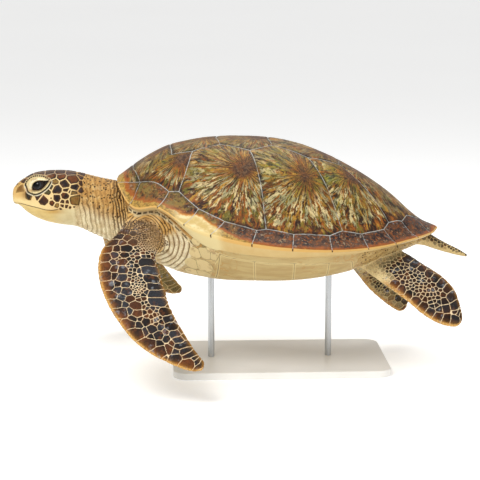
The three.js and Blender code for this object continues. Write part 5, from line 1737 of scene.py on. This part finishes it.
def skin_material():
    g = Graph("turtle_skin", Roughness=0.5, Specular_IOR_Level=0.12)
    place = g.place()
    ground, plate = g.field("ground", "Color"), g.field("plate", "Color")
    edge, fold, grain, speck, wet = g.fields("edge", "fold", "grain", "speck", "wet")
    mottles, fines = g.noises(place, 55.0, 4.0, 0.6), g.noises(place, 260.0, 3.0, 0.6)
    broad = g.noise(place, 14.0, 2.0)
    granule = g.cells(place, 215.0, "DISTANCE_TO_EDGE")
    dot, chance = g.cells(place, 165.0, "F1"), g.parts(g.cells(place, 165.0, "F1", "Color"))

    # Scales: dark centres, with patches of painted blue-grey highlight, that warm up to the edge.
    g.colour = plate
    g.over(g.product(g.step(mottles[1], 0.54, 0.68), g.step(broad, 0.42, 0.54), wet, 0.6),
           "8b8f95")
    g.over(g.product(g.step(fines[0], 0.45, 0.7, 0.0, 0.6), g.step(wet, 0.0, 0.3, 0.05, 1.0)),
           "120e0c")
    g.over(g.step(mottles[2], 0.54, 0.68, 0.0, 0.45), "7a4620")
    scale = g.colour

    # Granules: little raised cells, some of them dark.
    g.colour = ground
    g.over(g.product(g.step(mottles[0], 0.35, 0.7, 0.0, 0.5), g.step(grain, 0.0, 1.0, 0.3, 1.0)),
           g.mix(1.0, ground, "b39064", "MULTIPLY"))
    g.over(g.product(g.step(mottles[2], 0.5, 0.68), grain, 0.35), "e6cf98")
    size = g.step(chance[1], 0.0, 1.0, 0.26, 0.52)
    limit = g.less(g.add(chance[0], speck), g.product(mottles[1], 0.5))
    dots = g.product(g.step(g.less(dot, size), 0.1, -0.04), g.step(limit, 0.72, 0.8),
                     g.step(speck, 0.02, 0.3))
    g.over(g.product(dots, 0.9), "2a1a0e")
    # Painted shade in the grooves between the granules.
    g.over(g.product(g.less(1.0, g.step(granule, 0.0, 0.09)), grain, 0.4), "6e4c22")

    g.over(g.step(g.add(edge, g.swing(fines[1], 1.5)), 0.35, 1.15), scale)
    # Painted shade in the folds' grooves, the mouth's line and the nostril pits.
    g.over(g.step(fold, 0.1, 0.8, 0.0, 0.92), "36220f")
    pebbles = g.product(g.step(granule, 0.0, 0.22), grain)
    return g.finish((g.add(g.product(fines[0], 0.5), pebbles), 0.55, 0.0012),
                    Roughness=g.step(mottles[0], 0.3, 0.8, 0.42, 0.62))


# ------------------------------------------------------------------ eyes

GAZE = (-0.36, 0.88, 0.30)
PUPIL_RADIUS, IRIS_RADIUS = 7.8, 13.5
CORNEA_RISE = 1.3


def eye(name, side):
    centre = mirrored(EYE_CENTRE, side)
    gaze = mirrored(GAZE, side)
    gaze /= np.linalg.norm(gaze)
    ball, quads, fans = loft_mesh(ball_rings((0, 0, 0), 1.0))
    ball = unit(ball)
    angle = np.arccos(np.clip(ball @ gaze, -1, 1))
    out = EYE_RADIUS * np.sin(np.minimum(angle, math.pi / 2))
    bulge = CORNEA_RISE * np.exp(-(angle / 0.62) ** 4)
    points = ball * (EYE_RADIUS + bulge)[:, None] + centre
    obj = mesh_object(f"turtle_eyeball_{name}", points, quads, fans)
    set_fields(obj, off_axis=np.where(angle < math.pi / 2, out, EYE_RADIUS * 1.5))
    return obj


def eyes():
    material = eye_material()
    for name, side in (("left", LEFT), ("right", RIGHT)):
        dress(eye(name, side), material, [f"eye_{name}"])


def eye_material():
    g = Graph("turtle_eye", Roughness=0.2, Coat_Weight=0.16, Coat_Roughness=0.03,
              Specular_IOR_Level=0.12)
    off = g.field("off_axis")
    iris = g.fade(g.noise(g.place(), 420.0, 3.0), 0.35, 0.7, "09090b", "17181c")
    g.colour = g.fade(off, PUPIL_RADIUS - 0.5, PUPIL_RADIUS + 0.6, "030303", iris)
    g.over(g.product(g.step(off, 9.6, 11.2), g.step(off, 13.4, 12.0), 0.6), "3c3e42")
    g.over(g.step(off, IRIS_RADIUS - 0.6, IRIS_RADIUS + 1.2), "2a211b")
    return g.finish()


# ------------------------------------------------------------------ stand and scene

def paint_material():
    g = Graph("stand_white_paint", Roughness=0.38, Coat_Weight=0.2, Coat_Roughness=0.15)
    place = g.place()
    g.colour = g.fade(g.noise(place, 5.0, 3.0), 0.3, 0.7, "e7e5df", "f0eee9")
    return g.finish((g.noise(place, 420.0, 2.0), 0.12, 0.0004))


def steel_material():
    g = Graph("stand_brushed_steel", Metallic=1.0, Roughness=0.3)
    lines = g.noise(g.place((400, 400, 6)), 3.0, 3.0)
    g.colour = g.mix(lines, "a9acae", "c9cbcc")
    return g.finish((lines, 0.08, 0.0003), Roughness=g.step(lines, 0.3, 0.7, 0.24, 0.4))


def finish_stand():
    coat(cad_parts["stand_base"], paint_material())
    steel = steel_material()
    for name in ("stand_rod_front", "stand_rod_rear"):
        coat(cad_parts[name], steel)


FLOOR_SIZE = 80.0


def floor():
    half = FLOOR_SIZE / 2 / MM
    corners = [(x, y, -LIFT) for x, y in ((-half, -half), (half, -half), (half, half),
                                          (-half, half))]
    obj = mesh_object("studio_floor", corners, [(0, 1, 2, 3)])
    g = Graph("studio_floor_matte", Roughness=0.8, Specular_IOR_Level=0.1,
              Emission_Color="ffffff", Emission_Strength=0.28)
    g.colour = g.mix(g.noise(g.place(), 0.5, 2.0), "f4f4f3", "f8f8f7")
    coat(obj, g.finish())


# Camera: where it looks, from how far, its angles in degrees, and its scale.
AIM = Vector((-0.109, 0, 0.352))
CAMERA_DISTANCE = 5.5
CAMERA_AZIMUTH, CAMERA_ELEVATION = -3, 10
PIXELS, PIXELS_PER_METRE = 480, 358
SENSOR = 36.0


def camera():
    data = bpy.data.cameras.new("studio_camera")
    data.sensor_width = SENSOR
    data.sensor_fit = "AUTO"
    data.lens = SENSOR * PIXELS_PER_METRE * CAMERA_DISTANCE / PIXELS
    obj = linked("studio_camera", data)
    azimuth, elevation = math.radians(CAMERA_AZIMUTH), math.radians(CAMERA_ELEVATION)
    away = Vector((math.sin(azimuth) * math.cos(elevation),
                   -math.cos(azimuth) * math.cos(elevation), math.sin(elevation)))
    obj.location = AIM + away * CAMERA_DISTANCE
    obj.rotation_euler = (-away).to_track_quat("-Z", "Y").to_euler()
    bpy.context.scene.camera = obj


# Area lamps: name, place, power and size; and the strength of the white surroundings.
LAMPS = [("key_light", (-1.8, -2.8, 3.6), 120, 1.6), ("fill_light", (3.0, -3.2, 1.6), 18, 3.0),
         ("top_light", (0.3, 1.2, 3.6), 60, 2.4)]
SKY_STRENGTH = 0.6


def lights():
    for name, place, power, size in LAMPS:
        data = bpy.data.lights.new(name, "AREA")
        data.energy, data.size = power, size
        obj = linked(name, data)
        obj.location = Vector(place)
        obj.rotation_euler = (AIM - obj.location).to_track_quat("-Z", "Y").to_euler()
    world = bpy.data.worlds.new("studio_world")
    world.use_nodes = True
    background = world.node_tree.nodes["Background"]
    background.inputs["Color"].default_value = (1, 1, 1, 1)
    background.inputs["Strength"].default_value = SKY_STRENGTH
    bpy.context.scene.world = world
    bpy.context.scene.view_settings.view_transform = "Standard"


upper_shell()
lower_shell()
skin()
eyes()
finish_stand()
floor()
camera()
lights()
